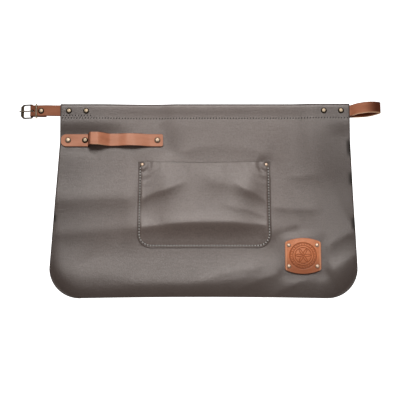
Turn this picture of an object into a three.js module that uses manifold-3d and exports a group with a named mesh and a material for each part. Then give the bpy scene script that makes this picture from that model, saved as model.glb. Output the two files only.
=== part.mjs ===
// A leather waist apron lying on a flat surface, front face up: a soft panel whose top edge is turned
// over into a hem, a bellied pocket, a towel strap, a riveted patch, a buckle strap on the left and a
// long waist strap on the right that is folded back under the hem.
// Millimetres, +X to the apron's right as it lies, +Y towards the hem, +Z up from the surface.
import * as THREE from "three";
import { mergeVertices } from "three/addons/utils/BufferGeometryUtils.js";
import Module from "manifold-3d";

const wasm = await Module();
wasm.setup();

// Leather and fits
const PANEL_THICKNESS = 1.6;
const STRAP_THICKNESS = 2.5;
const PATCH_THICKNESS = 3;
const GAP = 0.3; // between pieces that lie on each other
const FLOOR_EASE = 0.2; // back caps and the empty part of the hem stay this far off the surface
const TRIM_MARGIN = 1; // a strap is made this much wider on each side and then trimmed to its outline
const TRIM_HEIGHT = 60;
const SHARP_ROUND = 0.1; // round of a strap end that is cut square

// Apron panel outline
const TOP_Y = 210.3;
const BOTTOM_Y = -212;
const BOTTOM_BOW = 2.5; // the bottom edge lies this much higher in its middle
const HEM_LEFT = -296.5;
const HEM_RIGHT = 317.5;
const FLARE_START_Y = 128;
const FLARE_LEFT = 16.5; // how far each side runs out below the hem
const FLARE_RIGHT = 10;
const CORNER_RADIUS = 64;
const EDGE_EASE = 16; // the cut edges come down to the surface within this width
const EDGE_DOWN_Y = 80; // the sides are down on the surface below here
const EDGE_LEVEL_Y = 108; // and level with the panel above here
const HEM_DEPTH = 36;
const HEM_EASE = 0.5; // inner gap of the empty part of the hem
const HEM_DROP = 27; // below the hem the panel comes down within this length

// Rivets: a domed cap, a shank and a flat back cap in one piece
const RIVET_LARGE = { cap: 6.4, dome: 2.4, shank: 1.8, back: 5, backHeight: 1.5 };
const RIVET_SMALL = { cap: 4.4, dome: 1.9, shank: 1.4, back: 3.6, backHeight: 1.5 };
const RIVET_SIDES = 12;
const HOLE_SIDES = 8;
const HOLE_EASE = 0.6; // rivet holes are this much wider in radius than the shanks
const BACK_CAP_ROOM = RIVET_LARGE.backHeight + GAP;
const SEAT_Z = BACK_CAP_ROOM + FLOOR_EASE; // underside of leather that lies on back caps
const SEAT_TOP = SEAT_Z + PANEL_THICKNESS;

// Profile of a rivet's domed cap from its rim to its middle, in shares of its radius and its height.
const RIVET_DOME = [
  { radius: 1, height: 0 },
  { radius: 0.92, height: 0.45 },
  { radius: 0.6, height: 0.86 },
  { radius: 0, height: 1 },
];

// Waist straps
const STRAP_WIDTH = 25;
const STRAP_Y = 194.5;
const HEM_RIVET_INSET = 18.2;
const HEM_RIVET_PITCH = 36.5;
const STRAP_IN_HEM = 66; // length of each strap end inside the hem
const LOOP_START_X = HEM_RIGHT + 2; // where the waist strap leaves the level of the hem
const LOOP_SKEW = 0.19; // sideways lean of the loop for each millimetre of height
const LOOP_STEPS = 46;
const WAIST_STRAP_TIP = -34;
const PUNCH = { count: 7, first: 55, pitch: 25, radius: 2.2 };

// Side line of the waist strap's slack loop at mid-thickness: up out of the hem, over a low arch, round
// a tight fold and back down to the surface.
const WAIST_LOOP = [
  { x: 326, z: 12 },
  { x: 333, z: 16.4 },
  { x: 341, z: 19.7 },
  { x: 352, z: 22.7 },
  { x: 363, z: 23.9 },
  { x: 372, z: 23.4 },
  { x: 379, z: 21.7 },
  { x: 382, z: 19.6 },
  { x: 379.2, z: 17.6 },
  { x: 373, z: 13.6 },
  { x: 363, z: 8.1 },
  { x: 352, z: 4.5 },
  { x: 341, z: 2.8 },
  { x: 326, z: 1.5 },
  { x: 316, z: STRAP_THICKNESS / 2 },
];

// Buckle
const BAR_X = -356.7;
const BAR_Z = 4.95;
const BAR_RADIUS = 1.5;
const FRAME_Y = 194.3;
const FRAME_WIDTH = 32;
const FRAME_ARM = 2.9;
const FRAME_REACH = 24.3; // from the heel bar to the far edge of the front bar
const FRAME_FRONT_BAR = 7;
const FRAME_THICKNESS = 3.6;
const FRAME_HEEL = 1.9; // the arms end this far behind the heel bar
const FRAME_CHAMFER = 6;
const FRAME_BEVEL = 0.7;
const FRAME_TILT = THREE.MathUtils.degToRad(7.6); // the front bar rests on the surface
const PRONG_WIDTH = 2.6;
const PRONG_THICKNESS = 1.6;
const PRONG_OVERHANG = 1.7;
const PRONG_EASE = 0.25; // between the prong and the bars
const PRONG_NOSE = 1; // its tip bends down from this far inside the front bar's edge
const PRONG_CURL_END = -0.8 * Math.PI;
const SLOT_WIDTH = 3.6;
const SLOT_END = -350.6; // end of the slot and of the fold's opened stretch
const TAIL_END = -325.6;
const STEP_START_X = HEM_LEFT - 4; // the strap steps up from the hem to its doubled stretch
const STEP_END_X = TAIL_END - 2;
const BUCKLE_RIVET_X = -337.5;
const KEEPER_X = -347.5;
const KEEPER_WIRE = 1;
const KEEPER_ROOM = 4.5; // free height above the two strap layers
const KEEPER_SIDE_EASE = 0.8;
const KEEPER_ROUND = 2.2;
const KEEPER_SIDES = 8;

// Towel strap
const TOWEL_WIDTH = 28;
const TOWEL_Y = 129.7;
const TOWEL_LEFT = -294.5;
const TOWEL_RIGHT = -78;
const TOWEL_LEFT_ROUND = 12;
const TOWEL_RIGHT_ROUND = 4;
const TOWEL_RIVETS = [-279.2, -243.2, -90.1];
const TOWEL_STEEP_END = -220; // the strap is stepped finely up to here and coarsely beyond
const TOWEL_FINE_STEP = 2;
const TOWEL_COARSE_STEP = 6.5;

// Pocket
const POCKET_X = 9;
const POCKET_TOP = 82.5;
const POCKET_BOTTOM = -105;
const POCKET_HALF_TOP = 138.8;
const POCKET_HALF_BOTTOM = 140.7;
const POCKET_CORNER = 29;
const POCKET_MOUTH_DIP = 2.3; // the mouth edge is cut this much lower in its middle
const POCKET_SEAM = 13; // flat margin along the seam
const POCKET_SIDE_RISE = 36;
const POCKET_RIVETS = [
  { name: "rivet_pocket_left", x: -121.8, y: 75.6 },
  { name: "rivet_pocket_right", x: 139.6, y: 75.6 },
];

// Patch
const PATCH_X = 214.2;
const PATCH_Y = -123.2;
const PATCH_WIDTH = 75;
const PATCH_SIDE = 61; // straight height of its sides
const PATCH_ARC = 8; // rise of the bowed top and bottom edges
const PATCH_CORNER = 4;
const PATCH_RIVET_X = 29.4;
const PATCH_RIVET_Y = 22.5;
const PATCH_LIFT = 2.5; // the panel's lift off the surface under the patch

// Folds of the panel: a ridge from one end of its crest to the other, bowed by bow at the middle,
// high by height, that fades within above and below the crest and within taper past the ends.
const PANEL_FOLDS = [
  { x0: -300, y0: 0, x1: -135, y1: 4, bow: 3, height: 4.5, above: 42, below: 18, taper: 30 },
  { x0: -312, y0: -72, x1: -135, y1: -50, bow: 2, height: 3.6, above: 20, below: 19, taper: 25 },
  { x0: -70, y0: 92, x1: 108, y1: 92, bow: 13, height: 2.6, above: 26, below: 11, taper: 25 },
  { x0: 158, y0: -62, x1: 206, y1: -38, bow: 0, height: 3.6, above: 26, below: 13, taper: 22 },
  { x0: 258, y0: -92, x1: 335, y1: -58, bow: 3, height: 5.5, above: 30, below: 15, taper: 18 },
  { x0: 282, y0: -150, x1: 330, y1: -118, bow: 0, height: 4, above: 20, below: 24, taper: 20 },
  { x0: 300, y0: 128, x1: 322, y1: 118, bow: 0, height: 3.2, above: 26, below: 14, taper: 16 },
  { x0: 190, y0: 30, x1: 290, y1: 44, bow: 4, height: 2.2, above: 34, below: 24, taper: 40 },
];

// The roll along the bottom edge and its corners, where the leather comes down to the surface.
const ROLL = { height: 9.5, inset: 37, inner: 66, outer: 19, sideShare: 0.16, fullY: -150, fadeY: -96 };

// Places where the panel lies flat under a piece that is sewn or riveted to it, and how far it is
// lifted there.
const FLAT_SEATS = [
  { x: PATCH_X, y: PATCH_Y, halfX: 48, halfY: 46, margin: 26, lift: PATCH_LIFT },
  { x: -262, y: TOWEL_Y, halfX: 34, halfY: 20, margin: 14, lift: 0 },
  { x: -90, y: TOWEL_Y, halfX: 22, halfY: 22, margin: 18, lift: 0 },
  { x: POCKET_X, y: (POCKET_TOP + POCKET_BOTTOM) / 2, halfX: 148, halfY: 102, margin: 17, lift: 0 },
];

// Height of the hem's underside and the inner gap of the hem along the waist: the ends carry the
// straps, the right half lies on the folded-back strap.
const STRAP_ROOM = STRAP_THICKNESS + 2 * GAP;
const HEM_STATIONS = [
  { x: -216, base: SEAT_Z, gap: STRAP_ROOM },
  { x: -156, base: FLOOR_EASE, gap: HEM_EASE },
  { x: -90, base: FLOOR_EASE, gap: HEM_EASE },
  { x: -46, base: STRAP_THICKNESS + GAP, gap: HEM_EASE },
  { x: 190, base: STRAP_THICKNESS + GAP, gap: HEM_EASE },
  { x: 242, base: STRAP_THICKNESS + GAP + BACK_CAP_ROOM, gap: STRAP_ROOM },
];

// Belly of the pocket down its middle: share of the height from the mouth, and rise off the panel.
const POCKET_BELLY = [
  { down: 0, rise: 8 },
  { down: 0.18, rise: 11 },
  { down: 0.38, rise: 13.5 },
  { down: 0.5, rise: 13.2 },
  { down: 0.66, rise: 17 },
  { down: 0.72, rise: 17.2 },
  { down: 0.8, rise: 12 },
  { down: 0.88, rise: 5 },
  { down: 0.94, rise: 0.8 },
  { down: 1, rise: 0 },
];

// Slack creases of the pocket, as the panel's folds.
const POCKET_FOLDS = [
  { x0: -112, y0: 6, x1: -34, y1: 34, bow: 6, height: 3.6, above: 22, below: 10, taper: 16 },
  { x0: 44, y0: 46, x1: 126, y1: 4, bow: 6, height: 3.6, above: 22, below: 11, taper: 16 },
];

// Rise of the towel strap off the panel along its length.
const TOWEL_RISE = [
  { x: -236.3, rise: 0 },
  { x: -233.6, rise: 5 },
  { x: -231, rise: 14 },
  { x: -225, rise: 20 },
  { x: -215, rise: 17.5 },
  { x: -200, rise: 9.5 },
  { x: -183, rise: 5.5 },
  { x: -164, rise: 9 },
  { x: -146, rise: 12 },
  { x: -126, rise: 8.5 },
  { x: -110, rise: 2 },
  { x: -103, rise: 0 },
];

// Small numeric helpers
const { clamp, lerp, smoothstep } = THREE.MathUtils;

// Value of a table's column at a position, eased between its rows.
function eased(table, positionColumn, valueColumn, position) {
  const last = table.length - 1;
  if (position <= table[0][positionColumn]) return table[0][valueColumn];
  if (position >= table[last][positionColumn]) return table[last][valueColumn];
  const after = table.findIndex((row) => row[positionColumn] > position);
  const from = table[after - 1];
  const to = table[after];
  const share = smoothstep(position, from[positionColumn], to[positionColumn]);
  return lerp(from[valueColumn], to[valueColumn], share);
}

// A smooth curve through a table's rows, as a function of position, that never overshoots them.
function splined(table, positionColumn, valueColumn) {
  const pitch = table.slice(1).map((row, i) => {
    const before = table[i];
    return (row[valueColumn] - before[valueColumn]) / (row[positionColumn] - before[positionColumn]);
  });
  const slopes = table.map((_, i) => {
    const before = pitch[i - 1] ?? 0;
    const after = pitch[i] ?? 0;
    return before * after > 0 ? (2 * before * after) / (before + after) : 0;
  });
  return (position) => {
    const at = clamp(position, table[0][positionColumn], table[table.length - 1][positionColumn]);
    const after = Math.max(1, table.findIndex((row) => row[positionColumn] >= at));
    const from = table[after - 1];
    const to = table[after];
    const span = to[positionColumn] - from[positionColumn];
    const s = (at - from[positionColumn]) / span;
    const start = from[valueColumn] * (1 + 2 * s) + slopes[after - 1] * span * s;
    const end = to[valueColumn] * (3 - 2 * s) - slopes[after] * span * (1 - s);
    return start * (1 - s) ** 2 + end * s ** 2;
  };
}

// Height that a fold adds at a point.
function foldHeight(fold, x, y) {
  const along = new THREE.Vector2(fold.x1 - fold.x0, fold.y1 - fold.y0);
  const length = along.length();
  along.divideScalar(length);
  const s = (x - fold.x0) * along.x + (y - fold.y0) * along.y;
  const share = clamp(s / length, 0, 1);
  const across = (y - fold.y0) * along.x - (x - fold.x0) * along.y - 4 * fold.bow * share * (1 - share);
  const past = Math.max(-s, s - length, 0);
  const width = across > 0 ? fold.above : fold.below;
  return fold.height * Math.exp(-((across / width) ** 2)) * (1 - smoothstep(past, 0, fold.taper));
}

function foldsHeight(folds, x, y) {
  return folds.reduce((sum, fold) => sum + foldHeight(fold, x, y), 0);
}

// Solids: closed meshes become manifold solids to be cut and joined.
function solidOf(geometry) {
  const bare = geometry.clone();
  bare.deleteAttribute("normal");
  bare.deleteAttribute("uv");
  const merged = mergeVertices(bare, 1e-4);
  const mesh = new wasm.Mesh({
    numProp: 3,
    vertProperties: merged.attributes.position.array,
    triVerts: new Uint32Array(merged.index.array),
  });
  return new wasm.Manifold(mesh);
}

function geometryOf(solid) {
  const mesh = solid.getMesh();
  const geometry = new THREE.BufferGeometry();
  geometry.setAttribute("position", new THREE.BufferAttribute(mesh.vertProperties, 3));
  geometry.setIndex(new THREE.BufferAttribute(mesh.triVerts, 1));
  geometry.computeVertexNormals();
  return geometry;
}

function cut(geometry, tools) {
  return geometryOf(tools.reduce((solid, tool) => solid.subtract(solidOf(tool)), solidOf(geometry)));
}

// A wall of constant thickness about a grid of points, each row a list of points from left to right.
function wallGeometry(grid, thickness) {
  const rows = grid.length;
  const columns = grid[0].length;
  const at = (i, j) => grid[clamp(i, 0, rows - 1)][clamp(j, 0, columns - 1)];
  const faces = [[], []];
  for (let i = 0; i < rows; i++) {
    for (let j = 0; j < columns; j++) {
      const down = at(i + 1, j).clone().sub(at(i - 1, j));
      const right = at(i, j + 1).clone().sub(at(i, j - 1));
      const normal = down.cross(right).normalize();
      faces[0].push(at(i, j).clone().addScaledVector(normal, thickness / 2));
      faces[1].push(at(i, j).clone().addScaledVector(normal, -thickness / 2));
    }
  }
  const front = (i, j) => i * columns + j;
  const back = (i, j) => rows * columns + i * columns + j;
  const index = [];
  for (let i = 0; i < rows - 1; i++) {
    for (let j = 0; j < columns - 1; j++) {
      const [a, b, c, d] = [front(i, j), front(i + 1, j), front(i + 1, j + 1), front(i, j + 1)];
      const [e, f, g, h] = [back(i, j), back(i + 1, j), back(i + 1, j + 1), back(i, j + 1)];
      index.push(a, b, c, a, c, d, e, g, f, e, h, g);
    }
  }
  const border = [];
  for (let i = 0; i < rows - 1; i++) border.push([i, 0]);
  for (let j = 0; j < columns - 1; j++) border.push([rows - 1, j]);
  for (let i = rows - 1; i > 0; i--) border.push([i, columns - 1]);
  for (let j = columns - 1; j > 0; j--) border.push([0, j]);
  border.forEach((p, k) => {
    const q = border[(k + 1) % border.length];
    index.push(front(...q), front(...p), back(...p), front(...q), back(...p), back(...q));
  });
  const points = [...faces[0], ...faces[1]];
  const geometry = new THREE.BufferGeometry().setFromPoints(points);
  geometry.setIndex(index);
  geometry.computeVertexNormals();
  return geometry;
}

// A strap: its side view, a centreline in X and Z, given thickness and carried across its width.
function strapGeometry(centreline, thickness, width, centreY) {
  const normals = centreline.map((point, k) => {
    const before = centreline[Math.max(k - 1, 0)];
    const after = centreline[Math.min(k + 1, centreline.length - 1)];
    const along = after.clone().sub(before).normalize();
    return new THREE.Vector2(-along.y, along.x);
  });
  const side = (sign) =>
    centreline.map((p, k) => p.clone().addScaledVector(normals[k], (sign * thickness) / 2));
  const outline = new THREE.Shape([...side(1), ...side(-1).reverse()]);
  const geometry = new THREE.ExtrudeGeometry(outline, { depth: width, bevelEnabled: false, steps: 1 });
  return geometry.rotateX(Math.PI / 2).translate(0, centreY + width / 2, 0);
}

// Points of an arc about a centre, from one angle to another.
function arcPoints(centreX, centreZ, radius, fromAngle, toAngle, steps) {
  return Array.from({ length: steps + 1 }, (_, k) => {
    const angle = lerp(fromAngle, toAngle, k / steps);
    return new THREE.Vector2(centreX + radius * Math.cos(angle), centreZ + radius * Math.sin(angle));
  });
}

// Points of a smooth step from one height to another.
function easePoints(fromX, fromZ, toX, toZ, steps) {
  return Array.from({ length: steps + 1 }, (_, k) => {
    const share = k / steps;
    return new THREE.Vector2(lerp(fromX, toX, share), lerp(fromZ, toZ, smoothstep(share, 0, 1)));
  });
}

// A plate: a plan outline raised from one height to another.
function plateGeometry(outline, fromZ, toZ, curveSegments) {
  const options = { depth: toZ - fromZ, bevelEnabled: false, steps: 1, curveSegments };
  return new THREE.ExtrudeGeometry(outline, options).translate(0, 0, fromZ);
}

// Plan outline of a strap with a round of its own at each end.
function strapOutline(left, right, centreY, width, leftRound, rightRound) {
  const low = centreY - width / 2;
  const high = centreY + width / 2;
  const outline = new THREE.Shape();
  outline.moveTo(left + leftRound, low);
  outline.lineTo(right - rightRound, low);
  outline.absarc(right - rightRound, low + rightRound, rightRound, -Math.PI / 2, 0, false);
  outline.absarc(right - rightRound, high - rightRound, rightRound, 0, Math.PI / 2, false);
  outline.absarc(left + leftRound, high - leftRound, leftRound, Math.PI / 2, Math.PI, false);
  outline.absarc(left + leftRound, low + leftRound, leftRound, Math.PI, 1.5 * Math.PI, false);
  return outline;
}

// A strap trimmed to its plan outline.
function trimmedStrap(centreline, width, centreY, outline) {
  const strap = strapGeometry(centreline, STRAP_THICKNESS, width + 2 * TRIM_MARGIN, centreY);
  const plan = plateGeometry(outline, -TRIM_MARGIN, TRIM_HEIGHT, 5);
  return geometryOf(solidOf(strap).intersect(solidOf(plan)));
}

function holeTool(x, y, radius) {
  const tool = new THREE.CylinderGeometry(radius, radius, 2 * TRIM_HEIGHT, HOLE_SIDES);
  return tool.rotateX(Math.PI / 2).translate(x, y, 0);
}

// Panel
function sideLeft(y) {
  return HEM_LEFT - FLARE_LEFT * flareShare(y);
}

function sideRight(y) {
  return HEM_RIGHT + FLARE_RIGHT * flareShare(y);
}

function flareShare(y) {
  return clamp((FLARE_START_Y - y) / (FLARE_START_Y - BOTTOM_Y - CORNER_RADIUS), 0, 1);
}

// Distance inwards from the panel's sides, bottom edge and rounded bottom corners.
function insetFromEdge(x, y) {
  const middle = (sideLeft(y) + sideRight(y)) / 2;
  const halfWidth = (sideRight(y) - sideLeft(y)) / 2;
  const outX = Math.abs(x - middle) - (halfWidth - CORNER_RADIUS);
  const outY = BOTTOM_Y + CORNER_RADIUS - y;
  const corner = Math.hypot(Math.max(outX, 0), Math.max(outY, 0));
  return CORNER_RADIUS - corner - Math.min(Math.max(outX, outY), 0);
}

// Lift of the slack leather at a point, levelled on the flat seats.
function slackLift(x, y) {
  const free = foldsHeight(PANEL_FOLDS, x, y) + rollHeight(x, y);
  return FLAT_SEATS.reduce((lift, seat) => {
    const outX = Math.max(Math.abs(x - seat.x) - seat.halfX, 0);
    const outY = Math.max(Math.abs(y - seat.y) - seat.halfY, 0);
    return lerp(seat.lift, lift, smoothstep(Math.hypot(outX, outY), 0, seat.margin));
  }, free);
}

function rollHeight(x, y) {
  const inset = insetFromEdge(x, y);
  const width = inset > ROLL.inset ? ROLL.inner : ROLL.outer;
  const share = lerp(1, ROLL.sideShare, smoothstep(y, ROLL.fullY, ROLL.fadeY));
  return ROLL.height * share * Math.exp(-(((inset - ROLL.inset) / width) ** 2));
}

// Underside of the panel below the hem.
function panelUnderside(x, y) {
  const nearEdge = 1 - smoothstep(insetFromEdge(x, y), 0, EDGE_EASE);
  const base = SEAT_Z * (1 - nearEdge * (1 - smoothstep(y, EDGE_DOWN_Y, EDGE_LEVEL_Y)));
  const hemShare = 1 - smoothstep(TOP_Y - HEM_DEPTH - y, 0, HEM_DROP);
  return lerp(base + slackLift(x, y), hemFrontUnderside(x), hemShare);
}

function hemBase(x) {
  return eased(HEM_STATIONS, "x", "base", x);
}

function hemGap(x) {
  return eased(HEM_STATIONS, "x", "gap", x);
}

function hemFrontUnderside(x) {
  return hemBase(x) + PANEL_THICKNESS + hemGap(x);
}

// Rows of the panel from the hem's back edge, over the fold and down to the bottom edge.
function panelGrid() {
  const columns = 30;
  const hemRows = 2;
  const foldSteps = 4;
  const dropRows = 3;
  const bodyRows = 16;
  const cornerSteps = 6;
  const half = PANEL_THICKNESS / 2;
  const dropEnd = TOP_Y - HEM_DEPTH - HEM_DROP;
  const cornerTop = BOTTOM_Y + CORNER_RADIUS;
  const row = (left, right, point) =>
    Array.from({ length: columns + 1 }, (_, j) => point(lerp(left, right, j / columns)));
  const grid = [];
  for (let k = 0; k < hemRows; k++) {
    grid.push(row(HEM_LEFT, HEM_RIGHT, (x) => {
      const foldRadius = (PANEL_THICKNESS + hemGap(x)) / 2;
      const y = lerp(TOP_Y - HEM_DEPTH, TOP_Y - half - foldRadius, k / hemRows);
      return new THREE.Vector3(x, y, hemBase(x) + half);
    }));
  }
  for (let k = 0; k <= foldSteps; k++) {
    const angle = lerp(-Math.PI / 2, Math.PI / 2, k / foldSteps);
    grid.push(row(HEM_LEFT, HEM_RIGHT, (x) => {
      const foldRadius = (PANEL_THICKNESS + hemGap(x)) / 2;
      const y = TOP_Y - half - foldRadius * (1 - Math.cos(angle));
      return new THREE.Vector3(x, y, hemBase(x) + half + foldRadius * (1 + Math.sin(angle)));
    }));
  }
  for (let k = 1; k <= hemRows; k++) {
    grid.push(row(HEM_LEFT, HEM_RIGHT, (x) => {
      const foldRadius = (PANEL_THICKNESS + hemGap(x)) / 2;
      const y = lerp(TOP_Y - half - foldRadius, TOP_Y - HEM_DEPTH, k / hemRows);
      return new THREE.Vector3(x, y, hemFrontUnderside(x) + half);
    }));
  }
  for (let k = 1; k <= dropRows + bodyRows; k++) {
    const inDrop = lerp(TOP_Y - HEM_DEPTH, dropEnd, k / dropRows);
    const y = k <= dropRows ? inDrop : lerp(dropEnd, cornerTop, (k - dropRows) / bodyRows);
    grid.push(row(sideLeft(y), sideRight(y), (x) => new THREE.Vector3(x, y, panelUnderside(x, y) + half)));
  }
  for (let k = 1; k <= cornerSteps; k++) {
    const angle = (Math.PI / 2) * (k / cornerSteps);
    const inset = CORNER_RADIUS * (1 - Math.cos(angle));
    const outlineY = cornerTop - CORNER_RADIUS * Math.sin(angle);
    const left = sideLeft(cornerTop) + inset;
    const right = sideRight(cornerTop) - inset;
    grid.push(row(left, right, (x) => {
      const middleShare = 1 - ((2 * (x - left)) / (right - left) - 1) ** 2;
      const y = outlineY + BOTTOM_BOW * middleShare * (k / cornerSteps) ** 2;
      return new THREE.Vector3(x, y, panelUnderside(x, y) + half);
    }));
  }
  return grid;
}

// Pocket
function pocketHalf(y) {
  return lerp(POCKET_HALF_TOP, POCKET_HALF_BOTTOM, (POCKET_TOP - y) / (POCKET_TOP - POCKET_BOTTOM));
}

const bellyRise = splined(POCKET_BELLY, "down", "rise");

function pocketRise(x, y) {
  const down = (POCKET_TOP - y) / (POCKET_TOP - POCKET_BOTTOM);
  const inset = pocketHalf(y) - Math.abs(x - POCKET_X);
  const sideShare = smoothstep(inset, POCKET_SEAM, POCKET_SEAM + POCKET_SIDE_RISE);
  return sideShare * (bellyRise(down) + foldsHeight(POCKET_FOLDS, x, y));
}

function pocketGrid() {
  const columns = 22;
  const rows = 15;
  const cornerSteps = 4;
  const middle = SEAT_TOP + GAP + PANEL_THICKNESS / 2;
  const cornerTop = POCKET_BOTTOM + POCKET_CORNER;
  const grid = [];
  const addRow = (half, pointY) => {
    const points = Array.from({ length: columns + 1 }, (_, j) => {
      const across = lerp(-1, 1, j / columns);
      const x = POCKET_X + half * across;
      const y = pointY(across);
      return new THREE.Vector3(x, y, middle + pocketRise(x, y));
    });
    grid.push(points);
  };
  for (let k = 0; k <= rows; k++) {
    const share = k / rows;
    const y = lerp(POCKET_TOP, cornerTop, share);
    addRow(pocketHalf(y), (across) => y - POCKET_MOUTH_DIP * (1 - share) ** 4 * (1 - across ** 2) ** 2);
  }
  for (let k = 1; k <= cornerSteps; k++) {
    const angle = (Math.PI / 2) * (k / cornerSteps);
    const y = cornerTop - POCKET_CORNER * Math.sin(angle);
    addRow(pocketHalf(cornerTop) - POCKET_CORNER * (1 - Math.cos(angle)), () => y);
  }
  return grid;
}

// Towel strap
function towelStrapGeometry() {
  const rest = SEAT_TOP + GAP + STRAP_THICKNESS / 2;
  const rise = splined(TOWEL_RISE, "x", "rise");
  const humpStart = TOWEL_RISE[0].x;
  const humpEnd = TOWEL_RISE[TOWEL_RISE.length - 1].x;
  const stations = [TOWEL_LEFT];
  for (let x = humpStart; x < TOWEL_STEEP_END; x += TOWEL_FINE_STEP) stations.push(x);
  for (let x = TOWEL_STEEP_END; x < humpEnd; x += TOWEL_COARSE_STEP) stations.push(x);
  stations.push(humpEnd, TOWEL_RIGHT);
  const centreline = stations.map((x) => new THREE.Vector2(x, rest + rise(x)));
  const outline = strapOutline(
    TOWEL_LEFT, TOWEL_RIGHT, TOWEL_Y, TOWEL_WIDTH, TOWEL_LEFT_ROUND, TOWEL_RIGHT_ROUND,
  );
  const holes = TOWEL_RIVETS.map((x) => holeTool(x, TOWEL_Y, RIVET_LARGE.shank + HOLE_EASE));
  return cut(trimmedStrap(centreline, TOWEL_WIDTH, TOWEL_Y, outline), holes);
}

// Buckle strap: from inside the hem, over the heel bar and back under itself.
function buckleStrapGeometry() {
  const half = STRAP_THICKNESS / 2;
  const inHem = hemBase(HEM_LEFT) + PANEL_THICKNESS + GAP + half;
  const lowerZ = 2 * KEEPER_WIRE + GAP + half;
  const upperZ = lowerZ + STRAP_THICKNESS + GAP;
  const foldRadius = BAR_RADIUS + GAP + half;
  const centreline = [
    new THREE.Vector2(HEM_LEFT + STRAP_IN_HEM, inHem),
    ...easePoints(STEP_START_X, inHem, STEP_END_X, upperZ, 4),
    ...easePoints(SLOT_END, upperZ, BAR_X, BAR_Z + foldRadius, 4),
    ...arcPoints(BAR_X, BAR_Z, foldRadius, Math.PI / 2, 1.5 * Math.PI, 10).slice(1, -1),
    ...easePoints(BAR_X, BAR_Z - foldRadius, SLOT_END, lowerZ, 4),
    new THREE.Vector2(TAIL_END, lowerZ),
  ];
  const strap = strapGeometry(centreline, STRAP_THICKNESS, STRAP_WIDTH, STRAP_Y);
  const foldEnd = BAR_X - foldRadius - STRAP_THICKNESS;
  const slot = new THREE.BoxGeometry(SLOT_END - foldEnd, SLOT_WIDTH, 4 * foldRadius + STRAP_THICKNESS);
  slot.translate((SLOT_END + foldEnd) / 2, FRAME_Y, BAR_Z);
  const holes = [
    holeTool(BUCKLE_RIVET_X, STRAP_Y, RIVET_LARGE.shank + HOLE_EASE),
    ...hemRivetsX("left").map((x) => holeTool(x, STRAP_Y, RIVET_LARGE.shank + HOLE_EASE)),
  ];
  return cut(strap, [slot, ...holes]);
}

// Waist strap: out of the hem, round its slack loop and back under the hem to its tip.
function waistStrapGeometry() {
  const half = STRAP_THICKNESS / 2;
  const inHem = hemBase(HEM_RIGHT) + PANEL_THICKNESS + GAP + half;
  const loop = [{ x: LOOP_START_X, z: inHem }, ...WAIST_LOOP].map(({ x, z }) => new THREE.Vector3(x, z, 0));
  const centreline = [
    new THREE.Vector2(HEM_RIGHT - STRAP_IN_HEM, inHem),
    ...new THREE.CatmullRomCurve3(loop).getPoints(LOOP_STEPS).map(({ x, y }) => new THREE.Vector2(x, y)),
    new THREE.Vector2(WAIST_STRAP_TIP, half),
  ];
  const loopEnd = Math.max(...WAIST_LOOP.map(({ x }) => x)) + STRAP_THICKNESS;
  const tipRound = STRAP_WIDTH / 2 - SHARP_ROUND;
  const outline = strapOutline(WAIST_STRAP_TIP, loopEnd, STRAP_Y, STRAP_WIDTH, tipRound, SHARP_ROUND);
  const trimmed = trimmedStrap(centreline, STRAP_WIDTH, STRAP_Y, outline);
  const holes = Array.from({ length: PUNCH.count }, (_, k) =>
    holeTool(WAIST_STRAP_TIP + PUNCH.first + k * PUNCH.pitch, STRAP_Y, PUNCH.radius),
  );
  hemRivetsX("right").forEach((x) => holes.push(upperHoleTool(x, STRAP_Y, RIVET_LARGE.shank + HOLE_EASE)));
  const flat = cut(trimmed, holes);
  const lean = new THREE.Matrix4().makeShear(0, 0, 0, 0, 0, LOOP_SKEW);
  return flat.translate(0, 0, -inHem).applyMatrix4(lean).translate(0, 0, inHem);
}

// A hole through what lies above the folded-back strap only.
function upperHoleTool(x, y, radius) {
  const tool = new THREE.CylinderGeometry(radius, radius, TRIM_HEIGHT, HOLE_SIDES);
  return tool.rotateX(Math.PI / 2).translate(x, y, STRAP_THICKNESS + GAP + TRIM_HEIGHT / 2);
}

function hemRivetsX(end) {
  const insets = [HEM_RIVET_INSET, HEM_RIVET_INSET + HEM_RIVET_PITCH];
  return insets.map((inset) => (end === "left" ? HEM_LEFT + inset : HEM_RIGHT - inset));
}

// Patch
function patchGeometry() {
  const halfWidth = PATCH_WIDTH / 2;
  const halfSide = PATCH_SIDE / 2;
  const outline = new THREE.Shape();
  const edge = halfWidth - PATCH_CORNER;
  outline.moveTo(-edge, -halfSide);
  outline.quadraticCurveTo(0, -halfSide - 2 * PATCH_ARC, edge, -halfSide);
  outline.quadraticCurveTo(halfWidth, -halfSide + PATCH_CORNER / 2, halfWidth, -halfSide + 2 * PATCH_CORNER);
  outline.lineTo(halfWidth, halfSide - 2 * PATCH_CORNER);
  outline.quadraticCurveTo(halfWidth, halfSide - PATCH_CORNER / 2, edge, halfSide);
  outline.quadraticCurveTo(0, halfSide + 2 * PATCH_ARC, -edge, halfSide);
  outline.quadraticCurveTo(-halfWidth, halfSide - PATCH_CORNER / 2, -halfWidth, halfSide - 2 * PATCH_CORNER);
  outline.lineTo(-halfWidth, -halfSide + 2 * PATCH_CORNER);
  outline.quadraticCurveTo(-halfWidth, -halfSide + PATCH_CORNER / 2, -edge, -halfSide);
  const bottom = SEAT_TOP + PATCH_LIFT + GAP;
  const plate = plateGeometry(outline, bottom, bottom + PATCH_THICKNESS, 8);
  const holes = patchRivets().map(({ x, y }) =>
    holeTool(x - PATCH_X, y - PATCH_Y, RIVET_SMALL.shank + HOLE_EASE),
  );
  return cut(plate, holes).translate(PATCH_X, PATCH_Y, 0);
}

function patchRivets() {
  const corners = { upper_left: [-1, 1], upper_right: [1, 1], lower_left: [-1, -1], lower_right: [1, -1] };
  return Object.entries(corners).map(([corner, [signX, signY]]) => ({
    name: "rivet_patch_" + corner,
    x: PATCH_X + signX * PATCH_RIVET_X,
    y: PATCH_Y + signY * PATCH_RIVET_Y,
  }));
}

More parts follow.
